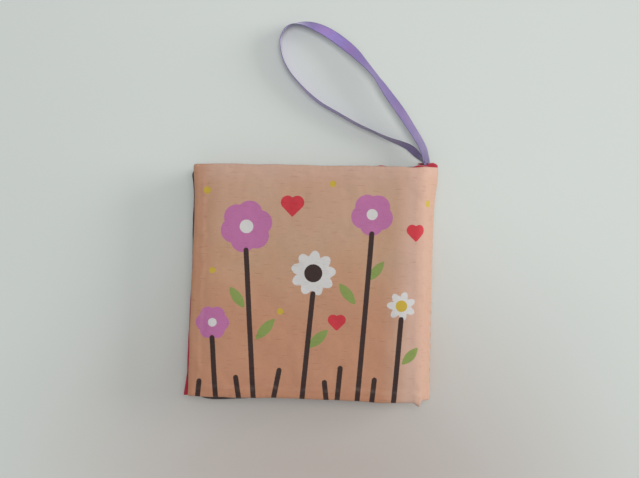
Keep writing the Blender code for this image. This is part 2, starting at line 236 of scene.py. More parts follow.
def weaveGroup():
    # threads crossing over and under: the product of two sines, with a rib along every weft thread
    group, given, made = newGroup(
        "weave", [("Flat", "Vector", None), ("Warp Pitch", "Float", 0.0003), ("Weft Pitch", "Float", 0.0004)],
        [("Height", "Float"), ("Rib", "Float")])
    axes = addNode(group, "ShaderNodeSeparateXYZ", {0: given["Flat"]}).outputs
    uneven = addNode(group, "ShaderNodeTexNoise", {
        "Vector": given["Flat"], "Scale": effects["weaveUneven"], "Detail": 2}).outputs["Fac"]
    drift = maths(group, "MULTIPLY", maths(group, "SUBTRACT", uneven, 0.5), effects["weaveDrift"])
    across = maths(group, "DIVIDE", maths(group, "ADD", axes[0], drift), given["Warp Pitch"])
    up = maths(group, "DIVIDE", maths(group, "ADD", axes[1], drift), given["Weft Pitch"])
    warp = maths(group, "SINE", maths(group, "MULTIPLY", across, 2 * math.pi))
    weft = maths(group, "SINE", maths(group, "MULTIPLY", up, 2 * math.pi))
    cross = maths(group, "MULTIPLY", warp, weft)
    rib = maths(group, "ABSOLUTE", maths(group, "SINE", maths(group, "MULTIPLY", up, math.pi)))
    height = maths(group, "ADD", maths(group, "MULTIPLY", cross, effects["weaveCrossing"]), rib)
    group.links.new(height, made.inputs["Height"])
    group.links.new(rib, made.inputs["Rib"])
    return group


def slubGroup():
    # thick places in the weft: noise drawn out along the thread, of which only the peaks are kept
    group, given, made = newGroup(
        "slubs", [("Flat", "Vector", None), ("Run", "Float", effects["slubRun"]),
                  ("Rise", "Float", effects["slubRise"])],
        [("Weft", "Float"), ("Warp", "Float")])
    axes = addNode(group, "ShaderNodeSeparateXYZ", {0: given["Flat"]}).outputs
    for label, (first, second) in {"Weft": ("Run", "Rise"), "Warp": ("Rise", "Run")}.items():
        place = addNode(group, "ShaderNodeCombineXYZ", {
            0: maths(group, "MULTIPLY", axes[0], given[first]),
            1: maths(group, "MULTIPLY", axes[1], given[second])}).outputs[0]
        noise = addNode(group, "ShaderNodeTexNoise", {"Vector": place, "Scale": 1.0, "Detail": 1})
        group.links.new(mapRange(group, noise.outputs["Fac"], *effects["slubPeaks"]), made.inputs[label])
    return group


def inkGroup():
    # printed ink: full inside its outline, with an edge that bleeds a little along the threads
    group, given, made = newGroup(
        "ink", [("Distance", "Float", 0.0), ("Flat", "Vector", None),
                ("Bleed", "Float", effects["inkBleed"])],
        [("Mask", "Float")])
    noise = addNode(group, "ShaderNodeTexNoise", {
        "Vector": given["Flat"], "Scale": effects["inkGrain"], "Detail": 1})
    wander = maths(group, "MULTIPLY", maths(group, "SUBTRACT", noise.outputs["Fac"], 0.5), given["Bleed"])
    edge = maths(group, "ADD", given["Distance"], maths(group, "MULTIPLY", wander, 2.0))
    group.links.new(mapRange(group, edge, *effects["inkEdge"]), made.inputs["Mask"])
    return group


def wearGroup():
    # rubbed places: where the cloth stands out, broken up by noise; tone is a broad, slow noise
    group, given, made = newGroup(
        "wear", [("Rub", "Float", 0.0), ("Flat", "Vector", None), ("Amount", "Float", 0.5)],
        [("Worn", "Float"), ("Tone", "Float")])
    fine = addNode(group, "ShaderNodeTexNoise", {
        "Vector": given["Flat"], "Scale": effects["rubGrain"], "Detail": 4})
    broad = addNode(group, "ShaderNodeTexNoise", {
        "Vector": given["Flat"], "Scale": effects["toneGrain"], "Detail": 3})
    broken = mapRange(group, fine.outputs["Fac"], *effects["rubBroken"])
    worn = maths(group, "MULTIPLY", maths(group, "MULTIPLY", given["Rub"], broken), given["Amount"])
    group.links.new(worn, made.inputs["Worn"])
    group.links.new(broad.outputs["Fac"], made.inputs["Tone"])
    return group


groups = {"weave": weaveGroup(), "slubs": slubGroup(), "ink": inkGroup(), "wear": wearGroup()}


def startMaterial(name, roughness, **constants):
    # constants are set on the shader's own sockets
    material = bpy.data.materials.new(name)
    material.use_nodes = True
    tree = material.node_tree
    shader = tree.nodes["Principled BSDF"]
    shader.inputs["Roughness"].default_value = roughness
    for key, value in constants.items():
        shader.inputs[key.replace("_", " ")].default_value = value
    flat = addNode(tree, "ShaderNodeUVMap", uv_map="flat").outputs[0]
    return material, tree, shader, flat


# Cloth colours, linear; each ink is a colour and the attribute that holds its distance
# The fourth and fifth colours of each cloth are painted shade and painted highlight
clothLooks = {
    "coverCloth": {
        "ground": (0.45, 0.274, 0.173), "warmer": (0.46, 0.256, 0.150), "paler": (0.60, 0.44, 0.36),
        "deep": (0.445, 0.204, 0.114), "faded": (0.520, 0.328, 0.252),
        "inks": {
            "leafInk": (0.20, 0.26, 0.06), "pinkInk": (0.42, 0.13, 0.29), "whiteInk": (0.56, 0.54, 0.52),
            "redInk": (0.50, 0.022, 0.035), "darkInk": (0.026, 0.008, 0.005), "yellowInk": (0.48, 0.33, 0.03),
        },
        "roughness": 0.50, "sheen": 0.08,
    },
    "pageCloth": {
        "ground": (0.60, 0.56, 0.48), "warmer": (0.58, 0.52, 0.40), "paler": (0.74, 0.72, 0.68),
        "deep": (0.52, 0.46, 0.36), "faded": (0.68, 0.65, 0.6),
        "inks": {
            "firstInk": (0.42, 0.13, 0.29), "secondInk": (0.05, 0.20, 0.22), "darkInk": (0.026, 0.012, 0.010),
        },
        "roughness": 0.66, "sheen": 0.2,
    },
    "redCloth": {
        "ground": (0.40, 0.010, 0.036), "warmer": (0.34, 0.008, 0.026), "paler": (0.62, 0.16, 0.16),
        "deep": (0.34, 0.012, 0.022), "faded": (0.48, 0.05, 0.06),
        "inks": {
            "firstInk": (0.62, 0.60, 0.56), "secondInk": (0.50, 0.34, 0.04), "darkInk": (0.026, 0.012, 0.010),
        },
        "roughness": 0.62, "sheen": 0.25,
    },
    "charcoalCloth": {
        "ground": (0.030, 0.020, 0.019), "warmer": (0.040, 0.022, 0.018), "paler": (0.16, 0.13, 0.12),
        "deep": (0.024, 0.016, 0.015), "faded": (0.055, 0.042, 0.04),
        "inks": {
            "firstInk": (0.62, 0.60, 0.56), "secondInk": (0.42, 0.016, 0.030), "darkInk": (0.05, 0.20, 0.22),
        },
        "roughness": 0.60, "sheen": 0.3,
    },
}
# What every cloth has alike
clothFinish = {
    "warpPitch": 0.00032, "weftPitch": 0.00046,  # metres
    "sheenRoughness": 0.45, "specular": 0.3,
    "rubAmount": 0.30, "tonePatches": (0.35, 0.65),
    "weftSlubs": 0.72, "warpSlubs": 0.20, "slubTint": (0.86, 0.80, 0.76),
    # the ribs' pair is painted shade in the furrow between two ribs, up to a faint painted highlight on their
    # tops
    "ribFull": 0.7, "ribTint": (0.90, 1.02),     # from the furrow between two ribs to their tops
    "wornRoughness": 0.25, "slubRoughness": 0.1,
    "slubRelief": 1.5, "bumpStrength": 0.55, "bumpDistance": 0.00007,
}
inkShift = 10.0  # an attribute that a panel doesn't have reads 0, so distances are stored with this added
inkReach = 3.0   # and cut off this many millimetres from an outline


def clothMaterial(name):
    # ground, painted shade and painted highlight, and inks one over the other; slubs darken them, the ribs
    # carry painted shade in their furrows and a faint painted highlight on top, and rubbed places go pale
    look, finish = clothLooks[name], clothFinish
    material, tree, shader, flat = startMaterial(
        name, look["roughness"], Sheen_Weight=look["sheen"], Sheen_Roughness=finish["sheenRoughness"],
        Specular_IOR_Level=finish["specular"])
    rub = addNode(tree, "ShaderNodeAttribute", attribute_name="rub").outputs["Fac"]
    wear = useGroup(tree, groups["wear"], {"Rub": rub, "Flat": flat, "Amount": finish["rubAmount"]})
    slubs = useGroup(tree, groups["slubs"], {"Flat": flat})
    weave = useGroup(tree, groups["weave"], {
        "Flat": flat, "Warp Pitch": finish["warpPitch"], "Weft Pitch": finish["weftPitch"]})
    tone = mapRange(tree, wear["Tone"], *finish["tonePatches"])
    colour = mixColour(tree, tone, look["ground"], look["warmer"])
    # the covers' painted shade and painted highlight, from their attributes
    for key in ("deep", "faded"):
        share = addNode(tree, "ShaderNodeAttribute", attribute_name=key).outputs["Fac"]
        colour = mixColour(tree, share, colour, look[key])
    for key, ink in look["inks"].items():
        stored = addNode(tree, "ShaderNodeAttribute", attribute_name=key).outputs["Fac"]
        distance = maths(tree, "SUBTRACT", stored, inkShift)
        printed = useGroup(tree, groups["ink"], {"Distance": distance, "Flat": flat})
        has = maths(tree, "GREATER_THAN", stored, inkShift / 2)
        colour = mixColour(tree, maths(tree, "MULTIPLY", printed["Mask"], has), colour, ink)
    slub = maths(tree, "MULTIPLY", slubs["Weft"], finish["weftSlubs"])
    slub = maths(tree, "ADD", slub, maths(tree, "MULTIPLY", slubs["Warp"], finish["warpSlubs"]))
    colour = mixColour(tree, slub, colour, finish["slubTint"], "MULTIPLY")
    # painted shade in the furrows between ribs, a faint painted highlight on their tops
    thread = mapRange(tree, weave["Rib"], 0.0, finish["ribFull"], *finish["ribTint"], smooth=False)
    colour = scaleColour(tree, colour, thread)
    colour = mixColour(tree, wear["Worn"], colour, look["paler"])
    tree.links.new(colour, shader.inputs["Base Color"])
    worn = maths(tree, "MULTIPLY", wear["Worn"], finish["wornRoughness"])
    rough = maths(tree, "ADD", look["roughness"], worn)
    rough = maths(tree, "ADD", rough, maths(tree, "MULTIPLY", slub, finish["slubRoughness"]))
    tree.links.new(rough, shader.inputs["Roughness"])
    relief = maths(tree, "ADD", weave["Height"], maths(tree, "MULTIPLY", slubs["Weft"], finish["slubRelief"]))
    bump = addNode(tree, "ShaderNodeBump", {
        "Height": relief, "Strength": finish["bumpStrength"], "Distance": finish["bumpDistance"]})
    tree.links.new(bump.outputs[0], shader.inputs["Normal"])
    return material


# The leaves, in the CAD's own sizes
book = {
    "width": 110 * mm,           # front cover, fore edge to the outside of the spine
    "height": 108 * mm,          # head to tail
    "leafThickness": 4.1 * mm,
    "pieceGap": 0.3 * mm,
    "seamThickness": 1.3 * mm,
    "edgeRound": 13.0 * mm,      # from a seam in to the full thickness
    # how far the fold stands out from its line, from tail to head (mm), and how soon that fades round
    # the spine
    "foldLine": ((-54, 0.45), (-50, 0.3), (-42, 0.05), (-14, 0.1), (0, 0.35), (24, 0.45), (31, 0.65),
                 (37, 0.95), (42, 1.4), (46, 1.9), (50, 2.2), (54, 2.1)),
    "foldReach": 3.4 * mm,
    "leafRoot": 2.4 * mm,        # from the fold to an inner leaf
    "leafTaper": 9.0 * mm,       # an inner leaf thins over this length towards the fold
    "rootReach": 1.35 * mm,      # its sewn edge runs on this far into the fold
    "rootClear": 0.15 * mm,      # and follows the fold this far behind it,
    "rootFollows": 3.0 * mm,     # which fades over this length,
    "rootShows": 0.7 * mm,       # but reaches further out at the very head,
    "rootShowsOver": (51.5 * mm, 53.5 * mm),
    "rootThickness": 0.55 * mm,
    "clothThickness": 0.38 * mm,
    "furrowDepth": 0.30 * mm,    # the binding stitch draws the cover in along the fold
    "furrowWidth": 1.5 * mm,
    "foldRub": 0.6, "foldRubReach": 1.2 * mm,
    "edgeWave": 0.10 * mm,       # of all free edges, in waves that start clear of the fold
    "edgeWaves": (30 * mm, 8 * mm, 7),  # the longest, the shortest, and how many
    "edgeWavesFrom": 10 * mm,
    "cornerReach": 2.8,          # a rounded corner moves points this many times its cut away
    "spineSlope": 1.15 * mm,     # the covers start to fall this much before they round the spine,
    "slopeOver": (9 * mm, -4 * mm),     # from here before the curl to here past its start,
    "slopeEnds": 4 * mm,         # and not at the fold itself
    "sealReach": 1.2 * mm,       # a cover's inner cloth goes with it this near the head and tail
    "innerStart": 0.9 * mm,      # a cover's inner cloth starts this far from the fold
}
curlLength = foldZ * math.pi / 2  # round the spine, from the fold to where a cover runs flat
seeds = {  # added to a leaf's own seed, so that each use of random waves has its own
    "head": 0, "tail": 1, "fore": 2, "seams": 5, "ridge": 6, "shake": 50, "film": 60, "fluff": 61,
    "outer": 100, "inner": 200,
}

# Outlines: how far each free edge lies outside a plain rectangle, as (place along the edge, how far out),
# all in mm. Head and tail run from the fold to the fore edge, and fore from tail to head.
# cuts: how much the two fore corners, head and tail, are rounded off.
outlines = {
    "back_cover": {
        "side": -1, "cover": True, "seed": 11,
        "head": ((0, -1.0), (30, -1.3), (60, -2.1), (90, -2.0), (115, -2.3)),
        "tail": ((0, -0.2), (20, -0.6), (60, -1.5), (90, -1.8), (115, -2.0)),
        "fore": ((-54, -0.2), (-20, -0.7), (15, -0.9), (54, -0.4)),
        "cuts": (0.7, 0.5),
    },
    "lower_leaf": {
        "side": -1, "cover": False, "seed": 23,
        "head": ((-1, 0.0), (20, -1.5), (60, -2.6), (107, -3.2)),
        "tail": ((-1, -0.4), (60, 0.3), (78, 0.9), (84, 1.5), (92, 2.1), (98, 2.4), (102, 1.8), (104.5, 0.9),
                 (108, -0.8)),
        "fore": ((-54, -0.8), (-45, 0.1), (0, 0.6), (20, 0.7), (38, 0.7), (44, 1.0), (47.5, 1.5), (50, 0.7),
                 (54, -1.8)),
        "cuts": (0.9, 0.9),
    },
    "upper_leaf": {
        "side": 1, "cover": False, "seed": 37,
        "head": ((-1.4, -0.4), (-0.5, 0.9), (0.6, 1.25), (1.2, 0.9), (1.9, -0.2), (3.7, -0.3), (4.4, -0.1),
                 (5.0, -0.2), (8.2, -1.3), (14, -1.9), (18, -1.2), (22, -0.55), (26, -1.1), (32, -2.1),
                 (70, -2.5), (105, -2.7)),
        "tail": ((-1, -0.4), (30, -1.2), (60, -1.6), (95, -1.4), (103, -0.8), (110, 0.1)),
        "fore": ((-54, 2.7), (-51, 2.3), (-47, 1.7), (-43, 1.25), (-31, 1.1), (-10, 0.5), (15, -0.3),
                 (54, -2.2)),
        "cuts": (0.9, 0.25),
    },
    "front_cover": {
        "side": 1, "cover": True, "seed": 41,
        "head": ((0, -1.0), (7, -1.05), (11, -1.55), (15, -1.7), (20, -1.3), (44, -1.6), (64, -1.75),
                 (76, -1.6), (96, -1.7), (115, -2.0)),
        "tail": ((0, -0.2), (6, -0.3), (8, 0.0), (12, 0.4), (28, 0.55), (46, -0.1), (69, -0.6), (91, -0.3),
                 (109, -0.6), (115, -0.9)),
        "fore": ((-54, 0.2), (-42, 0.1), (-23, 0.0), (-9, -0.4), (9, -0.7), (18, -0.9), (27, -1.1),
                 (38, -1.0), (48, -0.4), (54, -0.3)),
        "cuts": (0.55, 0.25),
    },
}
# A tuck of the front cover's cloth that pokes out at the tail, near the spine: a triangle with hollow sides
tuck = {
    # its tip is painted pale: rubbed, and painted highlight where it faces up
    "place": 8.8 * mm, "before": 2.2 * mm, "after": 4.8 * mm, "height": 2.2 * mm, "hollow": 1.25,
    "rub": 1.4, "rubOver": (7 * mm, 1 * mm),
}


def outward(table, place, window=0.8 * mm):
    # the table's value at each place, averaged over a short window so that it turns without kinks
    places, values = np.array(table, dtype=float).T * mm
    shifts, weights = np.linspace(-window, window, 5), np.array((1, 4, 6, 4, 1)) / 16
    return sum(weight * np.interp(place + shift, places, values) for shift, weight in zip(shifts, weights))


def tuckHeight(along):
    # highest at its place, and a power of what is left of the way on both sides
    offset = along - tuck["place"]
    share = np.clip(np.abs(offset) / np.where(offset < 0, tuck["before"], tuck["after"]), 0, 1)
    return tuck["height"] * (1 - share) ** tuck["hollow"]


class Leaf:
    # along runs from the fold to the fore edge, across from tail to head, depth in from the outer face
    def __init__(self, name):
        self.name = name
        self.outline = outlines[name]
        self.cover = self.outline["cover"]
        self.side = self.outline["side"]
        self.taper = curlLength if self.cover else book["leafTaper"]
        self.length = curlLength + book["width"] - foldZ if self.cover else book["width"] - book["leafRoot"]

    def seed(self, use):
        return self.outline["seed"] + seeds[use]

    def thickness(self, along):
        # a quarter of a sine, from the bare seam at the fold to the full leaf; thinner still in the fold
        share = np.clip(along / self.taper, 0, 1)
        bare = book["seamThickness"]
        full = bare + (book["leafThickness"] - bare) * np.sin(share * math.pi / 2)
        if self.cover:
            return full
        sewn = ease(-book["rootReach"], 0, along)
        return book["rootThickness"] + (full - book["rootThickness"]) * sewn

    def headAndTail(self, along):
        # each edge is its table with small waves, and the front cover's tail has the tuck
        size = book["edgeWave"] * ease(0, book["edgeWavesFrom"], along)
        waves = [size * ripples(along, 0 * along, self.seed(edge), *book["edgeWaves"])
                 for edge in ("head", "tail")]
        head = outward(self.outline["head"], along) + waves[0]
        tail = outward(self.outline["tail"], along) + waves[1]
        if self.name == "front_cover":
            tail = tail + tuckHeight(along)
        return book["height"] / 2 + head, -book["height"] / 2 - tail

    def lengthAt(self, across):
        # from the fold to the fore edge: its table with small waves
        wave = book["edgeWave"] * ripples(across, 0 * across, self.seed("fore"), *book["edgeWaves"])
        return self.length + outward(self.outline["fore"], across) + wave

    def place(self, along, across, depth):
        # a cover runs a quarter round the spine, where the fold stands a little proud, and then flat;
        # an inner leaf runs straight from its root
        if self.cover:
            turn = np.minimum(along / foldZ, math.pi / 2)
            run = np.maximum(along - curlLength, 0)
            proud = outward(book["foldLine"], across) * np.exp(-(along / book["foldReach"]) ** 2)
            x = (foldZ - depth) * np.cos(turn) - foldZ - run + proud
            rise = (foldZ - depth) * np.sin(turn)
        else:
            # its sewn edge goes out with the fold, and a little past it where it shows at the head
            proud = np.maximum(outward(book["foldLine"], across) - book["rootClear"], 0)
            proud = proud + book["rootShows"] * ease(*book["rootShowsOver"], across)
            near = np.exp(-((along + book["rootReach"]) / book["rootFollows"]) ** 2)
            x = proud * near - book["leafRoot"] - along
            rise = book["pieceGap"] / 2 + self.thickness(along) - depth
        return np.stack((foldX + x, foldY + across, foldZ + self.side * rise), axis=-1)


# The grids of the cloths: lines lie closest at the seams, and grow apart inwards
grid = {"step": 0.8 * mm, "finest": 0.10 * mm, "growsOver": 3 * mm, "seamReach": 14 * mm}


def closeLines(start, end, fromStart=True):
    # distances that grow from the finest at an edge to the plain step inside
    step, finest, grown = grid["step"], grid["finest"], [0.0]
    while grown[-1] < grid["seamReach"]:
        grown.append(grown[-1] + finest + (step - finest) * min(grown[-1] / grid["growsOver"], 1))
    grown = np.array(grown)
    low = start + grown if fromStart else np.array([start])
    high = end - grown[::-1]
    count = max(2, round((high[0] - low[-1]) / step))
    return np.concatenate((low, np.linspace(low[-1], high[0], count + 1)[1:-1], high))


def leafGrid(leaf, start):
    # a grid over the leaf that follows its outline; the stretch is taken up near the edges
    nominal = closeLines(start, leaf.length, fromStart=False)
    half = book["height"] / 2
    lines = closeLines(-half, half)
    head, tail = leaf.headAndTail(nominal)
    stretchUp = ease(0, half - grid["seamReach"], lines)[:, None]
    stretchDown = ease(0, half - grid["seamReach"], -lines)[:, None]
    across = lines[:, None] + (head - half) * stretchUp + (tail + half) * stretchDown
    length = leaf.lengthAt(across)
    stretch = ease(leaf.taper, leaf.length - grid["seamReach"], nominal)
    along = nominal + (length - leaf.length) * stretch
    # round the two fore corners: points near one move in along both edges
    for cut, edge, sign in zip(leaf.outline["cuts"], (head, tail), (-1, 1)):
        cut = cut * mm
        reach = book["cornerReach"] * cut
        near = np.clip(1 - (length - along) / reach, 0, 1) ** 2
        near = near * np.clip(1 - np.abs(across - edge) / reach, 0, 1) ** 2
        along = along - cut * near / math.sqrt(2)
        across = across + sign * cut * near / math.sqrt(2)
    return along, across, nominal, lines


def seamDistances(leaf, nominal, lines):
    # distances from the head, tail and fore edges, measured on the grid's own lines
    half = book["height"] / 2
    return half - lines[:, None], lines[:, None] + half, (leaf.length - nominal)[None, :]


def softLeast(first, second, width):
    # the smaller of two distances, rounded where they are alike
    near = np.clip(0.5 + 0.5 * (second - first) / width, 0, 1)
    return second * (1 - near) + first * near - width * near * (1 - near)


# How a cloth comes into its seams; a pair is where something sets in and where it is full
seams = {
    "blend": 1 * mm,               # two seams that are alike near count as one, softly
    "roll": 0.65 * mm,             # the cloth rolls over into the seam
    "groove": 0.10 * mm,           # and leaves this much of a groove
    "unevenWaves": (26 * mm, 5 * mm),
    "allowance": 5.5 * mm,         # cloth turned in along the seams, which shows as a ridge
    "allowanceWander": 0.5 * mm,
    "ridge": 0.26 * mm, "ridgeFrom": (0.4 * mm, 2.2 * mm), "ridgeUntil": (0.5 * mm, -0.7 * mm),
    "ridgeWaves": (18 * mm, 6 * mm), "ridgeEven": 0.75, "ridgeUneven": 0.25,
    "stitch": 2.6 * mm,            # of the seams inside, which pucker the cloth
    "pucker": 0.10 * mm, "puckerAt": 1.0 * mm, "puckerReach": 1.1 * mm, "puckerDrift": 0.8,
    "puckerEven": 0.6, "puckerUneven": 0.4, "puckerSinks": 0.8,
    "rub": 0.4, "ridgeRub": 0.3, "rubReach": 0.7 * mm, "ridgeTop": 0.6 * mm,
}


def clothDepths(leaf, along, across, nominal, lines):
    # how far a panel falls from the leaf's face: the drawn-in sides, the roll into the seam, the ridge,
    # the puckers of the seam stitches; also how rubbed each point is
    head, tail, fore = seamDistances(leaf, nominal, lines)
    full = 1.0
    for distance in (head, tail, fore):
        near = 1 - np.clip(distance / book["edgeRound"], 0, 1)
        full = full * np.sqrt(1 - near ** 2)
    thick, bare = leaf.thickness(along), book["seamThickness"]
    filled = np.clip((thick - bare) / (book["leafThickness"] - bare), 0, 1)
    fall = np.maximum(thick - bare, 0) / 2 * (1 - full)
    nearest = softLeast(head + 0 * fore, tail + 0 * fore, seams["blend"])
    nearest = np.maximum(softLeast(nearest, fore + 0 * head, seams["blend"]), 0)
    rolled = 1 - np.clip(nearest / seams["roll"], 0, 1)
    fall = fall + (bare / 2 - seams["groove"]) * (1 - np.sqrt(1 - rolled ** 2))
    uneven = ripples(along, across, leaf.seed("seams"), *seams["unevenWaves"])
    width = seams["allowance"] + seams["allowanceWander"] * uneven
    outer, inner = seams["ridgeUntil"]
    ridge = ease(*seams["ridgeFrom"], nearest) * ease(width + outer, width + inner, nearest)
    height = seams["ridgeEven"] + seams["ridgeUneven"] * ripples(
        along, across, leaf.seed("ridge"), *seams["ridgeWaves"])
    ridge = seams["ridge"] * ridge * height * filled
    run = np.where(fore < np.minimum(head, tail), across, along)
    stitches = np.cos(2 * math.pi * run / seams["stitch"] + seams["puckerDrift"] * uneven)
    pucker = seams["pucker"] * stitches * np.exp(-((nearest - seams["puckerAt"]) / seams["puckerReach"]) ** 2)
    pucker = pucker * (seams["puckerEven"] + seams["puckerUneven"] * uneven)
    rub = seams["rub"] * np.exp(-nearest / seams["rubReach"])
    onRidge = np.exp(-((nearest - width + seams["ridgeTop"]) / seams["rubReach"]) ** 2)
    rub = rub + seams["ridgeRub"] * onRidge * filled
    if leaf.name == "front_cover":
        # the tuck's tip goes pale: rubbed, and painted highlight where it faces up
        rub = rub + tuck["rub"] * tuckHeight(along) / tuck["height"] * ease(*tuck["rubOver"], tail)
    sunk = fall + np.maximum(pucker, 0) * seams["puckerSinks"]
    return thick, sunk, ridge - np.minimum(pucker, 0), np.clip(rub, 0, 1)


# Printed motifs. Places and sizes in millimetres; a distance is below 0 inside the motif.
noMotif = 9.0     # the distance where there is none
petal = {"middle": 0.62, "half": 0.38}  # of a long petal, as shares of its blossom's radius


def discDistance(x, y, centre, radius):
    # from the middle, less the radius
    return np.hypot(x - centre[0], y - centre[1]) - radius


def scallopDistance(x, y, centre, radius, petals, depth, turn=0.0, swell=0.7):
    # a round blossom: the radius swells between notches
    angle = np.arctan2(y - centre[1], x - centre[0]) - turn
    wave = np.abs(np.cos(angle * petals / 2)) ** swell
    return np.hypot(x - centre[0], y - centre[1]) - radius * (1 - depth * (1 - wave))


def petalDistance(x, y, centre, radius, petals, width, turn=0.0):
    # one long ellipse for each petal, by folding the angle into a single sector
    sector = 2 * math.pi / petals
    angle = np.mod(np.arctan2(y - centre[1], x - centre[0]) - turn + sector / 2, sector) - sector / 2
    far = np.hypot(x - centre[0], y - centre[1])
    across, along = far * np.sin(angle), far * np.cos(angle) - radius * petal["middle"]
    return (np.hypot(along / (radius * petal["half"]), across / width) - 1) * width


def strokeDistance(x, y, points, width):
    # the nearest stretch of a line of points, with round ends
    nearest = np.full(x.shape, 1e3)
    for (ax, ay), (bx, by) in zip(points[:-1], points[1:]):
        dx, dy = bx - ax, by - ay
        share = np.clip(((x - ax) * dx + (y - ay) * dy) / (dx ** 2 + dy ** 2), 0, 1)
        nearest = np.minimum(nearest, np.hypot(x - ax - share * dx, y - ay - share * dy))
    return nearest - width / 2


def bentLine(start, bend, end, count=9):
    # a stem: the curve of second degree from start to end, drawn towards bend
    share = np.linspace(0, 1, count)[:, None]
    start, bend, end = (np.array(point, dtype=float) for point in (start, bend, end))
    return ((1 - share) ** 2 * start + 2 * share * (1 - share) * bend + share ** 2 * end).tolist()


def leafDistance(x, y, centre, length, width, turn):
    # the width narrows as a parabola towards both tips
    dx, dy = x - centre[0], y - centre[1]
    along, across = dx * math.cos(turn) + dy * math.sin(turn), dy * math.cos(turn) - dx * math.sin(turn)
    narrow = width / 2 * np.clip(1 - (2 * along / length) ** 2, 0.02, 1)
    return np.maximum(np.abs(across) - narrow, np.abs(along) - length / 2)


# Front cover: a meadow that grows from the tail. Each flower: kind, centre, radius, petals, turn, foot of its
# stem; shares are of a blossom's radius, or of the way from its middle to the foot.
meadow = {
    "strokeWidth": 2.3,
    "notch": 0.16, "blossomEye": 0.26, "petalWidth": 0.25, "daisyEye": 0.40,
    "stemTop": 0.9, "stemBend": (0.25, 0.35),
    "grassFoot": (60, 40),  # a blade's foot lies this far to the side, times its lean, and this far down
    "flowers": (
        ("blossom", (-29.0, 24.0), 11.8, 6, 0.3, (-24.0, -60.0)),
        ("daisy", (1.5, 3.5), 10.2, 9, 0.1, (-3.0, -60.0)),
        ("blossom", (27.5, 30.5), 9.6, 5, 0.9, (22.0, -60.0)),
        ("bud", (41.5, -10.5), 6.6, 7, 0.4, (38.5, -60.0)),
        ("blossom", (-43.5, -19.5), 7.6, 6, 0.0, (-41.0, -60.0)),
    ),
    "leaves": (
        ((-19.6, -22.0), 13.0, 4.6, 0.85), ((-32.6, -8.0), 12.0, 4.4, 2.2), ((4.2, -26.0), 12.5, 4.6, 0.75),
        ((17.0, -5.5), 12.5, 4.4, 2.25), ((29.8, 5.0), 11.5, 4.2, 0.9), ((46.0, -33.0), 11.0, 4.2, 0.8),
    ),
    "grass": (
        ((-49.0, -46.0), 0.06), ((-32.5, -44.0), -0.10), ((-13.0, -40.5), 0.12), ((7.5, -45.5), -0.08),
        ((14.5, -39.0), 0.05), ((30.0, -44.0), 0.06),
    ),
    "hearts": (((-8.5, 33.0), 4.4), ((12.5, -19.0), 3.4), ((47.5, 22.0), 3.6)),
    "dots": (
        ((-47.0, 40.0), 1.7), ((9.5, 44.0), 1.5), ((-13.0, -14.0), 1.5), ((54.5, 36.0), 1.7),
        ((-44.0, 4.0), 1.4),
    ),
}


def heartDistance(x, y, centre, size):
    # two discs over a square that stands on its corner
    dx, dy = np.abs(x - centre[0]), y - centre[1]
    lobes = np.hypot(dx - size / 2, dy - size / 2) - size / math.sqrt(2)
    square = (dx + np.abs(dy)) / math.sqrt(2) - size / math.sqrt(2)
    return np.minimum(lobes, square)


def meadowInks(x, y):
    # each ink's distance is the least of its motifs'
    inks = {key: np.full(x.shape, noMotif) for key in clothLooks["coverCloth"]["inks"]}

    def stamp(key, distance):
        inks[key] = np.minimum(inks[key], distance)

    aside, down = meadow["stemBend"]
    for kind, centre, radius, petals, turn, foot in meadow["flowers"]:
        bend = (centre[0] + aside * (foot[0] - centre[0]), centre[1] - down * (centre[1] - foot[1]))
        top = (centre[0], centre[1] - radius * meadow["stemTop"])
        stamp("darkInk", strokeDistance(x, y, bentLine(foot, bend, top), meadow["strokeWidth"]))
        if kind == "blossom":
            stamp("pinkInk", scallopDistance(x, y, centre, radius, petals, meadow["notch"], turn))
            stamp("whiteInk", discDistance(x, y, centre, radius * meadow["blossomEye"]))
        else:
            width, eye = radius * meadow["petalWidth"], "darkInk" if kind == "daisy" else "yellowInk"
            stamp("whiteInk", petalDistance(x, y, centre, radius, petals, width, turn))
            stamp(eye, discDistance(x, y, centre, radius * meadow["daisyEye"]))
    for centre, length, width, turn in meadow["leaves"]:
        stamp("leafInk", leafDistance(x, y, centre, length, width, turn))
    aside, down = meadow["grassFoot"]
    for (gx, gy), lean in meadow["grass"]:
        blade = [(gx, gy), (gx - lean * aside, gy - down)]
        stamp("darkInk", strokeDistance(x, y, blade, meadow["strokeWidth"]))
    for centre, size in meadow["hearts"]:
        stamp("redInk", heartDistance(x, y, centre, size))
    for centre, radius in meadow["dots"]:
        stamp("yellowInk", discDistance(x, y, centre, radius))
    return inks


# The back cover's pattern and the pages'
patterns = {
    "back": {
        "pitch": 22, "corner": (-60, -66), "shift": 5.0, "disc": 4.6, "discEye": 1.4,
        "daisy": {"radius": 6.4, "petals": 8, "width": 1.6, "turn": 0.2}, "daisyEye": 2.4,
    },
    "page": {"middle": -2.0, "half": 46},  # the printed square
    "dots": {"pitch": 11.0, "radius": 3.3},
    "zigzag": {"period": 18.0, "pitch": 15.0, "band": 5.0, "slope": 1.2},
    "stripes": {"pitch": 14.0, "half": 3.2},
    "checks": {"pitch": 13.0, "half": 45.5},
    "rings": {"pitch": 13.0, "band": 3.0, "half": 45.5, "disc": 3.4},
    "hearts": {"big": ((-2.0, -4.0), 25.0), "small": ((-2.0, -3.0), 13.0)},
}


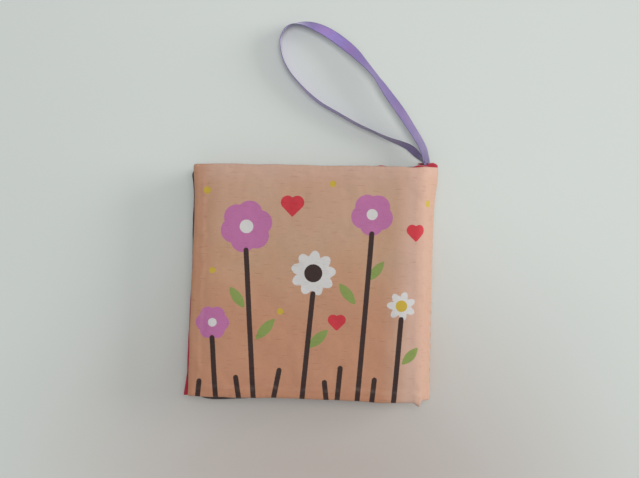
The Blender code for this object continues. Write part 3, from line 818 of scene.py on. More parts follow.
def backInks(x, y):
    # daisies and dots by turns in a square lattice, whose rows shift to and fro
    look = patterns["back"]
    pitch, (left, low) = look["pitch"], look["corner"]
    column, row = np.floor((x - left) / pitch), np.floor((y - low) / pitch)
    x0 = (column + 0.5) * pitch + left + np.where(np.mod(row, 2) > 0, look["shift"], -look["shift"])
    y0 = (row + 0.5) * pitch + low
    even = np.mod(column + row, 2) > 0
    daisy = petalDistance(x, y, (x0, y0), **look["daisy"])
    return {
        "pinkInk": np.where(even, noMotif, discDistance(x, y, (x0, y0), look["disc"])),
        "whiteInk": np.where(even, daisy, discDistance(x, y, (x0, y0), look["discEye"])),
        "darkInk": np.where(even, discDistance(x, y, (x0, y0), look["daisyEye"]), noMotif),
    }


def insideMargin(x, y, distance, half=patterns["page"]["half"]):
    # keeps a page's pattern inside a plain border
    border = np.maximum(np.abs(x - patterns["page"]["middle"]) - half, np.abs(y) - half)
    return np.maximum(distance, border)


def fromMiddle(place, pitch):
    # how far a place lies from the nearest multiple of the pitch
    return np.mod(place + pitch / 2, pitch) - pitch / 2


def dotInks(x, y):
    # dots of two colours by turns, every other row shifted by half a pitch
    look = patterns["dots"]
    pitch = look["pitch"]
    shift = np.where(np.mod(np.floor(y / pitch + 0.5), 2) > 0, pitch / 2, 0.0)
    dots = np.hypot(fromMiddle(x + shift, pitch), fromMiddle(y, pitch)) - look["radius"]
    odd = np.mod(np.floor((x + shift) / pitch + 0.5), 2) > 0
    return {"firstInk": insideMargin(x, y, np.where(odd, dots, noMotif)),
            "secondInk": insideMargin(x, y, np.where(odd, noMotif, dots))}


def zigzagInks(x, y):
    # level bands, raised by a wave of straight slopes
    look = patterns["zigzag"]
    wave = np.abs(np.mod(x, look["period"]) - look["period"] / 2) * look["slope"]
    offset = np.mod(y + wave, look["pitch"]) - look["pitch"] / 2
    bands = (np.abs(offset) - look["band"] / 2) / math.hypot(1, look["slope"])
    return {"firstInk": insideMargin(x, y, bands)}


def stripeInks(x, y):
    # upright bars, one in each pitch
    look = patterns["stripes"]
    return {"firstInk": insideMargin(x, y, np.abs(fromMiddle(x, look["pitch"])) - look["half"])}


def checkInks(x, y):
    # squares where both directions are on the same side of their quarter pitch
    look = patterns["checks"]
    dx, dy = (np.abs(fromMiddle(place, look["pitch"])) - look["pitch"] / 4 for place in (x, y))
    squares = np.sign(dx) * np.sign(dy) * np.minimum(np.abs(dx), np.abs(dy))
    return {"firstInk": insideMargin(x, y, squares, look["half"])}


def ringInks(x, y):
    # rings about the page's middle, round a small disc
    look = patterns["rings"]
    far = np.hypot(x - patterns["page"]["middle"], y)
    rings = np.abs(np.mod(far, look["pitch"]) - look["pitch"] / 2) - look["band"]
    return {"firstInk": np.where(far < look["half"], rings, noMotif), "secondInk": far - look["disc"]}


def heartPageInks(x, y):
    # a small heart on a big one
    big, small = (heartDistance(x, y, *patterns["hearts"][key]) for key in ("big", "small"))
    return {"firstInk": big, "secondInk": small}


# Each panel: leaf, face, CAD node, look, slot, how far its wrinkles stand out (mm), its print
panels = {
    "frontCoverOuterCloth": (
        "front_cover", "outer", "front_cover_outer_cloth", "coverCloth", "cover_cloth", 0.45, meadowInks),
    "frontCoverInnerCloth": (
        "front_cover", "inner", "front_cover_inner_cloth", "pageCloth", "page_cloth", 0.10, dotInks),
    "upperLeafUpperCloth": (
        "upper_leaf", "outer", "upper_leaf_upper_cloth", "redCloth", "red_cloth", 0.10, zigzagInks),
    "upperLeafUnderCloth": (
        "upper_leaf", "inner", "upper_leaf_under_cloth", "redCloth", "red_cloth", 0.10, heartPageInks),
    "lowerLeafUpperCloth": (
        "lower_leaf", "inner", "lower_leaf_upper_cloth", "charcoalCloth", "charcoal_cloth", 0.10, checkInks),
    "lowerLeafUnderCloth": (
        "lower_leaf", "outer", "lower_leaf_under_cloth", "charcoalCloth", "charcoal_cloth", 0.10, stripeInks),
    "backCoverInnerCloth": (
        "back_cover", "inner", "back_cover_inner_cloth", "pageCloth", "page_cloth", 0.10, ringInks),
    "backCoverOuterCloth": (
        "back_cover", "outer", "back_cover_outer_cloth", "coverCloth", "cover_cloth", 0.01, backInks),
}
# Waves are the longest, the shortest, and how many; a pair is where something sets in and where it is full
wrinkles = {
    "broad": 0.24 * mm, "broadWaves": (60 * mm, 14 * mm, 12),  # slow swells of the wadding
    "fine": 0.06 * mm, "fineWaves": (16 * mm, 4 * mm, 18),     # creases of the film under the cloth
    "sink": 0.45 * mm,                                         # the most that a wrinkle goes in
    "fromSeam": (1.0 * mm, 9 * mm),
    "fromFold": (0.3, 1.2),                                    # in shares of the leaf's taper
    "simulatedFromSeam": (0.4 * mm, 3 * mm),
    "spread": 0.6,                                             # of the simulated points, in their steps
}

# Cloth simulation: each leaf's two cloths as a bag with a pinned seam, filled with air
pillow = {
    "columns": 84, "rows": 80,
    "scale": 10.0,         # it runs at ten times the size, where the cloth settings suit
    "pressure": 4.0, "frames": 20, "quality": 5, "mass": 0.3, "stiffness": 0.4,
    "looseness": 0.035,    # how much wider the cloths are than the leaf, as a share
    "shake": 0.25 * mm,    # unevenness at the start, which the wrinkles grow from
    "shakeWaves": (30 * mm, 6 * mm, 12),
    "broad": 7.0 * mm,     # swells wider than this are left to the pressed leaf
    "most": 0.32 * mm,     # a point moves this far at most,
    "reached": 93,         # and this percentage of them less
}


def nearWeights(targets, sources, width):
    # each row weighs the sources by how near they lie to one target, on a bell curve
    weights = np.exp(-0.5 * ((targets[:, None] - sources[None, :]) / width) ** 2)
    return weights / weights.sum(axis=1, keepdims=True)


def keepWrinkles(rise, across, along):
    # what is left of the simulated rise without its broad swell, capped on a soft curve
    broad = nearWeights(across, across, pillow["broad"]) @ rise @ nearWeights(along, along, pillow["broad"]).T
    loose = rise - broad
    loose = loose * pillow["most"] / np.percentile(np.abs(loose), pillow["reached"])
    return pillow["most"] * np.tanh(loose / pillow["most"])


def simulateLeaf(leaf):
    # the bag starts in the leaf's own shape; both cloths share the points of the rim
    columns, rows, scale, half = pillow["columns"], pillow["rows"], pillow["scale"], book["height"] / 2
    places = np.linspace(0, leaf.length, columns), np.linspace(-half, half, rows)
    along, across = np.meshgrid(*places)
    full = 1.0
    for distance in (half - across, across + half, leaf.length - along, along):
        full = full * np.sqrt(1 - (1 - np.clip(distance / book["edgeRound"], 0, 1)) ** 2)
    rise = leaf.thickness(along) / 2 * full
    shake = pillow["shake"] * full * ripples(along, across, leaf.seed("shake"), *pillow["shakeWaves"])
    upper = np.arange(rows * columns).reshape(rows, columns)
    lower = upper.copy()
    lower[1:-1, 1:-1] = rows * columns + np.arange((rows - 2) * (columns - 2)).reshape(rows - 2, columns - 2)
    sides = [np.stack((along, across, sign * rise + shake), axis=-1) for sign in (1, -1)]
    points = np.concatenate((sides[0].reshape(-1, 3), sides[1][1:-1, 1:-1].reshape(-1, 3))) * scale
    faces = np.concatenate((gridFaces(rows, columns), lower.ravel()[gridFaces(rows, columns, turned=True)]))
    mesh = bpy.data.meshes.new("bag")
    mesh.from_pydata(points.tolist(), [], faces.tolist())
    bag = bpy.data.objects.new("bag", mesh)
    bpy.context.scene.collection.objects.link(bag)
    rim = np.concatenate((upper[0], upper[-1], upper[1:-1, 0], upper[1:-1, -1]))
    bag.vertex_groups.new(name="seam").add(rim.tolist(), 1.0, "REPLACE")
    settings = bag.modifiers.new("cloth", "CLOTH").settings
    settings.quality, settings.mass = pillow["quality"], pillow["mass"]
    settings.bending_stiffness = pillow["stiffness"]
    settings.vertex_group_mass = "seam"
    settings.shrink_min = -pillow["looseness"]
    settings.use_pressure, settings.uniform_pressure_force = True, pillow["pressure"]
    settings.effector_weights.gravity = 0
    for number in range(1, pillow["frames"] + 1):
        bpy.context.scene.frame_set(number)
    pressed = bag.evaluated_get(bpy.context.evaluated_depsgraph_get()).to_mesh()
    height = np.empty(len(points) * 3, dtype=np.float32)
    pressed.vertices.foreach_get("co", height)
    height = height.reshape(-1, 3)[:, 2] / scale
    bpy.data.objects.remove(bag)
    bpy.context.scene.frame_set(1)
    risen = {"outer": height[upper] - rise, "inner": -height[lower] - rise}
    return (*places, {face: keepWrinkles(value, places[1], places[0]) for face, value in risen.items()})


def simulateLeaves():
    pillows = {}
    for name in outlines:
        pillows[name] = simulateLeaf(Leaf(name))
        print("simulated:", name)
    return pillows


def foldStart(leaf, face):
    # covers' outer cloths meet at the fold, their inner ones leave room for the leaves' sewn edges
    if leaf.cover:
        return 0.0 if face == "outer" else book["innerStart"]
    return -book["rootReach"]


def wrinkleDepth(leaf, face, where, pillows):
    # below 0 stands out: swells and creases that fade at the seams and round the spine, and what the
    # simulation adds, each way up to its own most on a soft curve
    along, across, nominal, lines = where
    head, tail, fore = seamDistances(leaf, nominal, lines)
    nearest = np.minimum(np.minimum(head, tail), fore) + 0 * along
    low, high = (share * leaf.taper for share in wrinkles["fromFold"])
    inside = ease(*wrinkles["fromSeam"], nearest) * ease(low, high, along)
    broad = ripples(along, across, leaf.seed(face), *wrinkles["broadWaves"]) * wrinkles["broad"]
    fine = -np.abs(ripples(along, across, leaf.seed(face) + 1, *wrinkles["fineWaves"])) * wrinkles["fine"]
    depth = (broad + fine) * inside
    if pillows:
        places, rows, risen = pillows[leaf.name]
        width = wrinkles["spread"] * (places[1] - places[0])
        added = nearWeights(lines, rows, width) @ risen[face] @ nearWeights(nominal, places, width).T
        depth = depth - added * ease(*wrinkles["simulatedFromSeam"], nearest) * ease(0, leaf.taper, along)
    sink = wrinkles["sink"]
    standOut = max(panel[5] for panel in panels.values() if panel[:2] == (leaf.name, face)) * mm
    return np.where(depth < 0, standOut * np.tanh(depth / standOut), sink * np.tanh(depth / sink))


def spineFall(along):
    # how far a cover's outer cloth has come in where it rounds the spine
    before, after = book["slopeOver"]
    rounding = ease(curlLength + before, curlLength + after, along)
    return book["spineSlope"] * rounding * ease(0, book["slopeEnds"], along)


def faceDepth(leaf, face, where, pillows):
    # thickness, how deep the cloth's outside lies below the leaf's face, and how rubbed it is
    along = where[0]
    thick, fall, ridge, rub = clothDepths(leaf, *where)
    depth = fall - ridge + wrinkleDepth(leaf, face, where, pillows)
    if face == "outer" and leaf.cover:
        depth = depth + spineFall(along) + book["furrowDepth"] * np.exp(-(along / book["furrowWidth"]) ** 2)
        rub = np.maximum(rub, book["foldRub"] * np.exp(-(along / book["foldRubReach"]) ** 2))
    if face == "inner" and leaf.cover:
        # at the head and tail the inner cloth goes in with the outer one, so that the seam stays closed
        head, tail, _ = seamDistances(leaf, *where[2:])
        depth = depth - spineFall(along) * np.exp(-(np.minimum(head, tail) / book["sealReach"]) ** 2)
    if leaf.name == "back_cover" and face == "outer":
        depth = np.maximum(depth, 0)
    return thick, depth, rub


def addPanel(name, materials, pillows):
    # the leaf's grid at the depth of this face, with the print, painted shade and painted highlight, and
    # rubbing stored at its points
    leafName, face, node, look, slot, _, printInks = panels[name]
    leaf = Leaf(leafName)
    where = leafGrid(leaf, foldStart(leaf, face))
    along, across = where[:2]
    thick, depth, rub = faceDepth(leaf, face, where, pillows)
    points = leaf.place(along, across, thick - depth if face == "inner" else depth)
    # the print lies on the flat cloth: x runs on round the spine
    printX = (foldX - foldZ + curlLength - along if leaf.cover else foldX - book["leafRoot"] - along) / mm
    inks = {key: inkShift + np.clip(value, -inkReach, inkReach)
            for key, value in printInks(printX, across / mm).items()}
    paintedLightAt = paintedLightTones(leaf, face, along, across, seamDistances(leaf, *where[2:])[2])
    turned = (leaf.side > 0) == (face == "outer")
    faces = gridFaces(*along.shape, turned=turned)
    piece = fillMesh(name, points, faces, np.stack((along, across), axis=-1), {"rub": rub, **paintedLightAt, **inks})
    wall = piece.modifiers.new("cloth", "SOLIDIFY")
    wall.thickness, wall.offset = book["clothThickness"], -1
    piece.data.materials.append(materials[look])
    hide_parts(node)
    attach(piece, leafName)
    return piece


# The covers' painted light: painted shade, deeper in colour, towards the tail and in the outer edges;
# painted highlight, paler, towards the head and round the spine.
# Pairs of a place (mm, across or along) and how strong it is there.
paintedLight = {
    "deepAcross": ((-54, 1.10), (-50, 1.0), (-45, 0.88), (-22, 0.76), (-8, 0.5), (3, 0.2), (10, 0.0)),
    "deepAtFore": ((1, 0.75), (4, 0.72), (8, 0.25), (13, 0.0)),
    "fadedAcross": ((10, 0.0), (25, 0.25), (43, 0.34), (49, 0.75), (54, 0.9)),
    "fadedAlong": ((0, 0.6), (7, 0.66), (11, 0.82), (14, 1.0), (16, 0.98), (18.5, 0.66), (23, 0.25),
                   (28, 0.0)),
}


def paintedLightTones(leaf, face, along, across, fore):
    # both painted tones are read from the tables, and the stronger of the two painted highlights counts
    if face != "outer" or not leaf.cover:
        return {}
    tables = {key: np.array(table).T for key, table in paintedLight.items()}
    places = {"deepAcross": across, "deepAtFore": fore + 0 * along,
              "fadedAcross": across, "fadedAlong": along}
    read = {key: np.interp(place / mm, *tables[key]) for key, place in places.items()}
    deep = np.maximum(read["deepAcross"], read["deepAtFore"]) * (1 - read["fadedAlong"])
    faded = np.maximum(read["fadedAcross"], read["fadedAlong"]) * (1 - read["deepAtFore"])
    return {"deep": np.clip(deep, 0, 1.1), "faded": np.clip(faded, 0, 1)}


# What lies inside each leaf: a crumpled film under the outer cloth, and a pad of wadding
filling = {
    "inset": 6.0 * mm,       # both stop short of the seams
    "coverStart": 8.0 * mm, "leafStart": 7.0 * mm,
    "step": 1.0 * mm,
    "filmGap": 0.12 * mm, "filmThickness": 0.05 * mm,
    "crumple": 0.42 * mm, "crumpleWaves": (20 * mm, 5 * mm, 14),
    "filmSpare": 1.02,       # the flat film is this much larger, for its creases
    "padGap": 0.10 * mm, "padRound": 3.0 * mm,
    "padRim": 0.2,           # of its thickness that is left at the rim
    "fluff": 0.05 * mm, "fluffWaves": (5 * mm, 2.2 * mm, 10),
}


def fillingGrid(leaf):
    # an even grid clear of the seams and the fold, which follows the leaf's outline
    half, inset = book["height"] / 2, filling["inset"]
    start = filling["coverStart"] if leaf.cover else filling["leafStart"]
    nominal = np.linspace(start, leaf.length - inset, round((leaf.length - inset - start) / filling["step"]))
    lines = np.linspace(-half + inset, half - inset, round(2 * (half - inset) / filling["step"]))
    head, tail = leaf.headAndTail(nominal)
    across = tail + (head - tail) * (lines[:, None] + half) / (2 * half)
    along = nominal + (leaf.lengthAt(across) - leaf.length) * ease(leaf.taper, leaf.length - inset, nominal)
    return along, across, nominal, lines


def pieceName(leaf, ending):
    # back_cover and Wadding make backCoverWadding
    first, second = leaf.name.split("_")
    return first + second.capitalize() + ending


def addFilling(leafName, materials, pillows):
    # both follow the room between the two cloths: the film just under the outer one, the pad the rest
    leaf = Leaf(leafName)
    where = fillingGrid(leaf)
    along, across, nominal, lines = where
    flat = np.stack((along, across), axis=-1)
    thick, outside, _ = faceDepth(leaf, "outer", where, pillows)
    inside = thick - faceDepth(leaf, "inner", where, pillows)[1]
    under = outside + book["clothThickness"] + filling["filmGap"]
    # the film's creases are sharp ridges: 1 less the size of a sum of waves
    waves = ripples(along, across, leaf.seed("film"), *filling["crumpleWaves"])
    ridges = 1 - np.clip(np.abs(waves), 0, 1)
    places = leaf.place(along, across, under + filling["crumple"] * (1 - ridges))
    faces = gridFaces(*along.shape, turned=leaf.side > 0)
    film = fillMesh(pieceName(leaf, "CrinkleFilm"), places, faces, flat)
    wall = film.modifiers.new("film", "SOLIDIFY")
    wall.thickness, wall.offset = filling["filmThickness"], -1
    film.data.materials.append(materials["film"])
    # the pad: rings that go along its top and back along its underside, rounded at the rim
    top = under + filling["crumple"] + filling["filmThickness"] + filling["padGap"]
    bottom = inside - book["clothThickness"] - filling["padGap"]
    rim = [np.clip(distance / filling["padRound"], 0, 1) for distance in (
        lines[:, None] - lines[0], lines[-1] - lines[:, None], nominal - nominal[0], nominal[-1] - nominal)]
    full = np.sqrt(1 - (1 - rim[0] * rim[1] * rim[2] * rim[3]) ** 2)
    full = filling["padRim"] + (1 - filling["padRim"]) * full
    fluff = filling["fluff"] * ripples(along, across, leaf.seed("fluff"), *filling["fluffWaves"])
    middle, reach = (top + bottom) / 2, np.maximum((bottom - top) / 2, filling["padGap"]) * full
    sides = [leaf.place(along, across, depth + fluff) for depth in (middle - reach, middle + reach)]
    rings = np.concatenate((sides[0], sides[1][:, ::-1]), axis=1)
    pad = sweptMesh(pieceName(leaf, "Wadding"), rings, np.concatenate((flat, flat[:, ::-1]), axis=1))
    pad.data.materials.append(materials["wadding"])
    for piece, node, slot in ((film, "_crinkle_film", "crinkle_film"), (pad, "_wadding", "wadding")):
        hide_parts(leafName + node)
        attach(piece, leafName)
    cut = (nominal[-1] - nominal[0], lines[-1] - lines[0])
    flat = tuple(float(size) * filling["filmSpare"] for size in cut)


# The hanging loop: 6 mm satin ribbon, both ends under the tack. Places from the tack's middle, z above the
# table, in millimetres.
ribbon = {
    "width": 6.0 * mm, "thickness": 0.26 * mm,
    "edgeRound": 1.04,                     # above 1, so that its edges aren't knife sharp
    "selvedge": 0.06 * mm, "selvedgeAt": 0.93, "selvedgeReach": 0.045,  # the last two in half widths
    "cup": 0.12 * mm,
    "overTable": 0.05 * mm,
    "length": 0.195,
    "stations": 460, "acrossPoints": 17,
    "ends": ((0.95, 5.3), (-0.95, 4.1)),  # its two ends in the tack: across, and above the table
    "sewnIn": 0.9 * mm,                    # they run this far back into the tack
    "route": (
        (-1.8, 5.9, 5.6), (-5.0, 10.9, 6.0), (-8.4, 15.7, 6.2), (-11.7, 20.5, 6.2), (-17.9, 29.6, 6.0),
        (-24.6, 39.3, 5.6), (-32.6, 48.0, 5.0), (-38.3, 52.7, 4.5), (-43.9, 56.4, 4.1), (-49.1, 59.1, 3.7),
        (-54.7, 61.4, 3.4), (-59.4, 62.5, 3.2), (-63.6, 62.2, 3.1), (-66.5, 60.4, 3.1), (-68.3, 57.2, 3.1),
        (-68.7, 53.5, 3.1), (-67.2, 46.6, 3.1), (-63.9, 40.8, 3.1), (-60.4, 36.3, 3.1), (-55.1, 30.8, 3.1),
        (-49.1, 26.1, 3.1), (-42.6, 22.5, 3.1), (-31.7, 16.7, 3.1), (-24.2, 13.5, 3.1), (-16.6, 10.6, 3.2),
        (-10.7, 8.4, 3.5), (-6.5, 5.7, 3.9),
    ),
    # at shares of its length: how far it turns from flat to its edge, in quarter turns (below 0 its inner
    # edge is up); how far it bows off the route, to the inside (mm); how much painted sheen and shade scale
    # its colour
    "tilt": ((0.0, -0.60), (0.06, -0.52), (0.11, -0.47), (0.14, -0.43), (0.175, -0.46), (0.21, -0.54),
             (0.24, -0.66), (0.275, -0.58), (0.31, -0.40), (0.34, -0.30), (0.375, -0.30), (0.41, -0.38),
             (0.44, -0.56), (0.475, -0.86), (0.51, -0.95), (0.54, -0.98), (0.575, -1.01), (0.61, -1.045),
             (0.64, -1.01), (0.675, -0.96), (0.71, -0.95), (0.74, -0.96), (0.775, -0.97), (0.81, -0.97),
             (0.84, -0.98), (0.875, -0.98), (0.91, -0.90), (0.94, -0.80), (0.96, -0.73), (0.975, -0.77),
             (0.99, -0.93), (1.0, -1.0)),
    "bow": ((0.0, -0.3), (0.04, -1.1), (0.10, -1.5), (0.14, -1.55), (0.21, -1.0), (0.28, -0.85),
            (0.34, -1.15), (0.375, -1.5), (0.41, -1.8), (0.44, -1.7), (0.475, -1.0), (0.51, 0.1),
            (0.55, 0.45), (0.60, 0.6), (0.70, 0.6), (0.80, 0.55), (0.85, 0.5), (0.90, 0.1), (0.93, 0.15),
            (0.95, 0.45), (0.965, 0.85), (0.98, 1.2), (1.0, 1.5)),
    "bright": ((0.0, 0.40), (0.05, 0.54), (0.12, 0.65), (0.25, 0.72), (0.32, 0.82), (0.37, 1.12),
               (0.41, 1.05), (0.44, 0.9), (0.48, 1.2), (0.56, 1.3), (0.64, 1.5), (0.72, 1.4), (0.80, 1.1),
               (0.88, 0.95), (0.93, 0.98), (0.96, 1.0), (1.0, 0.8)),
}


def ribbonLine():
    # the smooth curve through the route, moved to its left by the bow
    low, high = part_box("hang_loop_tack")
    root = np.array([(low.x + high.x) / 2, high.y + book["pieceGap"], 0])
    sewn = np.array((0, -book["pieceGap"] - ribbon["sewnIn"], 0))
    inner = [root + np.array(place) * mm for place in ribbon["route"]]
    ends = [root + sewn + np.array((across, 0, height)) * mm for across, height in ribbon["ends"]]
    line = catmullRom([ends[0], *inner, ends[1]], ribbon["stations"])
    heading = np.gradient(line, axis=0)
    left = np.cross((0, 0, 1), heading)
    left /= np.linalg.norm(left, axis=1)[:, None]
    return line + left * smoothly(ribbon["bow"], np.linspace(0, 1, len(line)))[:, None] * mm


def smoothly(table, share, knots=500):
    # the smooth curve through a table's points, read at each share
    curve = catmullRom([(*point, 0) for point in table], knots)
    return np.interp(share, curve[:, 0], curve[:, 1])


def addRibbon(material):
    # one section carried along the line, and turned about it by the tilt
    line = ribbonLine()
    share = np.linspace(0, 1, len(line))
    tilt = smoothly(ribbon["tilt"], share) * math.pi / 2
    heading = np.gradient(line, axis=0)
    heading /= np.linalg.norm(heading, axis=1)[:, None]
    level = np.cross(heading, (0, 0, 1))
    level /= np.linalg.norm(level, axis=1)[:, None]
    upright = np.cross(level, heading)
    across = level * np.cos(tilt)[:, None] + upright * np.sin(tilt)[:, None]
    through = np.cross(heading, across)
    # the section: a thin lens with a bead along each selvedge, a little cupped
    reach = np.sin(np.linspace(-0.5, 0.5, ribbon["acrossPoints"]) * math.pi)
    half = ribbon["thickness"] / 2 * np.sqrt(np.clip(ribbon["edgeRound"] - reach ** 8, 0, 1))
    bead = (np.abs(reach) - ribbon["selvedgeAt"]) / ribbon["selvedgeReach"]
    half = half + ribbon["selvedge"] * np.exp(-bead ** 2)
    cup = ribbon["cup"] * (1 - reach ** 2)
    side = np.concatenate((reach, reach[-2:0:-1])) * ribbon["width"] / 2
    height = np.concatenate((cup + half, (cup - half)[-2:0:-1]))
    rings = line[:, None] + across[:, None] * side[:, None] + through[:, None] * height[:, None]
    rings[..., 2] = np.maximum(rings[..., 2], ribbon["overTable"])
    reached = share * ribbon["length"]
    flat = np.stack(np.broadcast_arrays(side[None, :], reached[:, None]), axis=-1)
    edge = np.broadcast_to(np.abs(side) / ribbon["width"] * 2, flat.shape[:2])
    # painted sheen and painted shade, by share of the ribbon's length
    bright = np.broadcast_to(smoothly(ribbon["bright"], share)[:, None], flat.shape[:2])
    piece = sweptMesh("hangLoopRibbon", rings, flat, {"selvedge": edge, "bright": bright})
    piece.data.materials.append(material)
    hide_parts("hang_loop")
    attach(piece, "back_cover")


satin = {
    "dark": (0.18, 0.130, 0.350), "light": (0.262, 0.194, 0.440),
    "pinker": (0.32, 0.18, 0.42), "patches": 60, "patchShare": 0.5, "patchRange": (0.42, 0.68),
    "floats": (5200.0, 260.0),  # noise across and along the ribbon, a metre
    "weftPitch": 0.00035, "weftRelief": 0.05,
    "roughness": 0.36, "bumpStrength": 0.5, "bumpDistance": 0.00005,
    "selvedge": (0.82, 0.90), "selvedgeColour": (0.12, 0.09, 0.22), "selvedgeShare": 0.7,
    "selvedgeRoughness": 0.25, "selvedgeRelief": 0.5,
}


def satinMaterial():
    # satin floats: fine threads along the ribbon, and the weft's slight steps across it
    material, tree, shader, flat = startMaterial(
        "satinRibbon", satin["roughness"], Sheen_Weight=0.35, Sheen_Roughness=0.3, Specular_IOR_Level=0.55,
        Anisotropic=0.5)
    edge = addNode(tree, "ShaderNodeAttribute", attribute_name="selvedge").outputs["Fac"]
    axes = addNode(tree, "ShaderNodeSeparateXYZ", {0: flat}).outputs
    scaled = {axis: maths(tree, "MULTIPLY", axes[axis], scale) for axis, scale in enumerate(satin["floats"])}
    place = addNode(tree, "ShaderNodeCombineXYZ", scaled).outputs[0]
    floats = addNode(tree, "ShaderNodeTexNoise", {"Vector": place, "Scale": 1.0, "Detail": 2})
    floats = floats.outputs["Fac"]
    weft = maths(tree, "SINE", maths(tree, "MULTIPLY", axes[1], 2 * math.pi / satin["weftPitch"]))
    broad = addNode(tree, "ShaderNodeTexNoise", {
        "Vector": flat, "Scale": satin["patches"], "Detail": 2}).outputs["Fac"]
    colour = mixColour(tree, mapRange(tree, floats, 0.3, 0.7), satin["dark"], satin["light"])
    patch = mapRange(tree, broad, *satin["patchRange"], 0.0, satin["patchShare"])
    colour = mixColour(tree, patch, colour, satin["pinker"])
    # painted sheen and painted shade scale the colour along the ribbon
    bright = addNode(tree, "ShaderNodeAttribute", attribute_name="bright").outputs["Fac"]
    colour = scaleColour(tree, colour, bright)
    border = mapRange(tree, edge, *satin["selvedge"])
    dyed = maths(tree, "MULTIPLY", border, satin["selvedgeShare"])
    colour = mixColour(tree, dyed, colour, satin["selvedgeColour"])
    tree.links.new(colour, shader.inputs["Base Color"])
    rough = maths(tree, "MULTIPLY", border, satin["selvedgeRoughness"])
    tree.links.new(maths(tree, "ADD", satin["roughness"], rough), shader.inputs["Roughness"])
    steps = maths(tree, "ADD", satin["weftRelief"], maths(tree, "MULTIPLY", border, satin["selvedgeRelief"]))
    height = maths(tree, "ADD", floats, maths(tree, "MULTIPLY", weft, steps))
    bump = addNode(tree, "ShaderNodeBump", {
        "Height": height, "Strength": satin["bumpStrength"], "Distance": satin["bumpDistance"]})
    tree.links.new(bump.outputs[0], shader.inputs["Normal"])
    return material


threads = {
    "plies": 3, "plyPitch": 1.1 * mm, "plySwell": 0.28, "around": 18,
    "seamInset": 2.0 * mm, "seamCorner": 3.0 * mm, "seamStart": 4.0 * mm, "seamRadius": 0.22 * mm,
    "seamWave": 0.16 * mm, "seamStep": 0.2 * mm,
    "stitchLength": 5.2 * mm, "stitchDepth": 1.1 * mm, "stitchRadius": 0.27 * mm,
    "stitchPoints": 34, "stitchTurns": (-0.35, 0.25), "stitchLag": 0.5,
    "stitchProud": 0.8,     # of its radius, over the furrow
}


def threadRings(line, radius, sideways):
    # a plied thread: the radius swells over each ply, and the plies wind round as the thread runs
    heading = np.gradient(line, axis=0)
    heading /= np.linalg.norm(heading, axis=1)[:, None]
    first = np.cross(heading, sideways)
    first /= np.linalg.norm(first, axis=1)[:, None]
    second = np.cross(heading, first)
    reached = np.concatenate(([0], np.cumsum(np.linalg.norm(np.diff(line, axis=0), axis=1))))
    angle = np.linspace(0, 2 * math.pi, threads["around"], endpoint=False)
    wound = angle[None, :] * threads["plies"] / 2 - reached[:, None] * math.pi / threads["plyPitch"]
    swell = threads["plySwell"]
    size = radius * (1 - swell + swell * np.abs(np.cos(wound)))
    rings = line[:, None] + size[..., None] * (
        np.cos(angle)[:, None] * first[:, None] + np.sin(angle)[:, None] * second[:, None])
    flat = np.stack(np.broadcast_arrays(angle[None, :] * radius, reached[:, None]), axis=-1)
    return rings, flat


def addBindingStitch(material):
    # running stitches along the fold: out over the cloth, then a dip between the covers
    low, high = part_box("binding_stitch")
    count = round((high.y - low.y) / threads["stitchLength"])
    across = np.linspace(low.y, high.y, count * threads["stitchPoints"])
    phase = (across - low.y) / (high.y - low.y) * count * 2 * math.pi
    out = ease(*threads["stitchTurns"], np.cos(phase - threads["stitchLag"]))
    top = foldX - book["furrowDepth"] + threads["stitchRadius"] * threads["stitchProud"]
    x = top - threads["stitchDepth"] * (1 - out)
    line = np.stack((x, across, np.full(across.shape, foldZ)), axis=-1)
    rings, flat = threadRings(line, threads["stitchRadius"], (0, 0, 1))
    piece = sweptMesh("bindingStitchThread", rings, flat)
    piece.data.materials.append(material)
    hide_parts("binding_stitch")
    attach(piece, "back_cover")


def addSeamThread(leafName, material):
    # the lockstitch inside the turned seam: along the tail, round the fore edge to the head, with a wave in
    # each stitch
    leaf = Leaf(leafName)
    corner, end, half = threads["seamCorner"], leaf.length - threads["seamInset"], book["height"] / 2
    reach = half - threads["seamInset"]
    turn = np.linspace(0, math.pi / 2, 16)
    sine, cosine, start = corner * (1 - np.sin(turn)), corner * (1 - np.cos(turn)), [threads["seamStart"]]
    along = np.concatenate((start, end - sine, end - cosine, start))
    across = np.concatenate(([-reach], -reach + cosine, reach - sine, [reach]))
    reached = np.concatenate(([0], np.cumsum(np.hypot(np.diff(along), np.diff(across)))))
    wanted = np.linspace(0, reached[-1], round(reached[-1] / threads["seamStep"]))
    along, across = np.interp(wanted, reached, along), np.interp(wanted, reached, across)
    head, tail = leaf.headAndTail(along)
    across = across + np.where(across > 0, head - half, tail + half) * np.abs(across) / half
    stretch = ease(leaf.taper, leaf.length - grid["seamReach"], along)
    along = along + (leaf.lengthAt(across) - leaf.length) * stretch
    wave = threads["seamWave"] * np.cos(2 * math.pi * wanted / seams["stitch"])
    middle = leaf.thickness(along) / 2 + (spineFall(along) / 2 if leaf.cover else 0)
    line = leaf.place(along, across, middle + wave)
    rings, flat = threadRings(line, threads["seamRadius"], (0, 0, 1))
    piece = sweptMesh(pieceName(leaf, "SeamThread"), rings, flat)
    piece.data.materials.append(material)
    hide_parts(leafName + "_seam_thread")
    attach(piece, leafName)


# The bar tack over the ribbon's ends
tack = {
    "stations": 240, "around": 40,
    "wraps": 15, "wrapRise": 0.11 * mm, "slant": 0.35,
    "taper": 2.5,  # power of the way out to its ends: the higher, the blunter
    "square": 0.6,  # power of the section's sine and cosine: the lower, the squarer
}


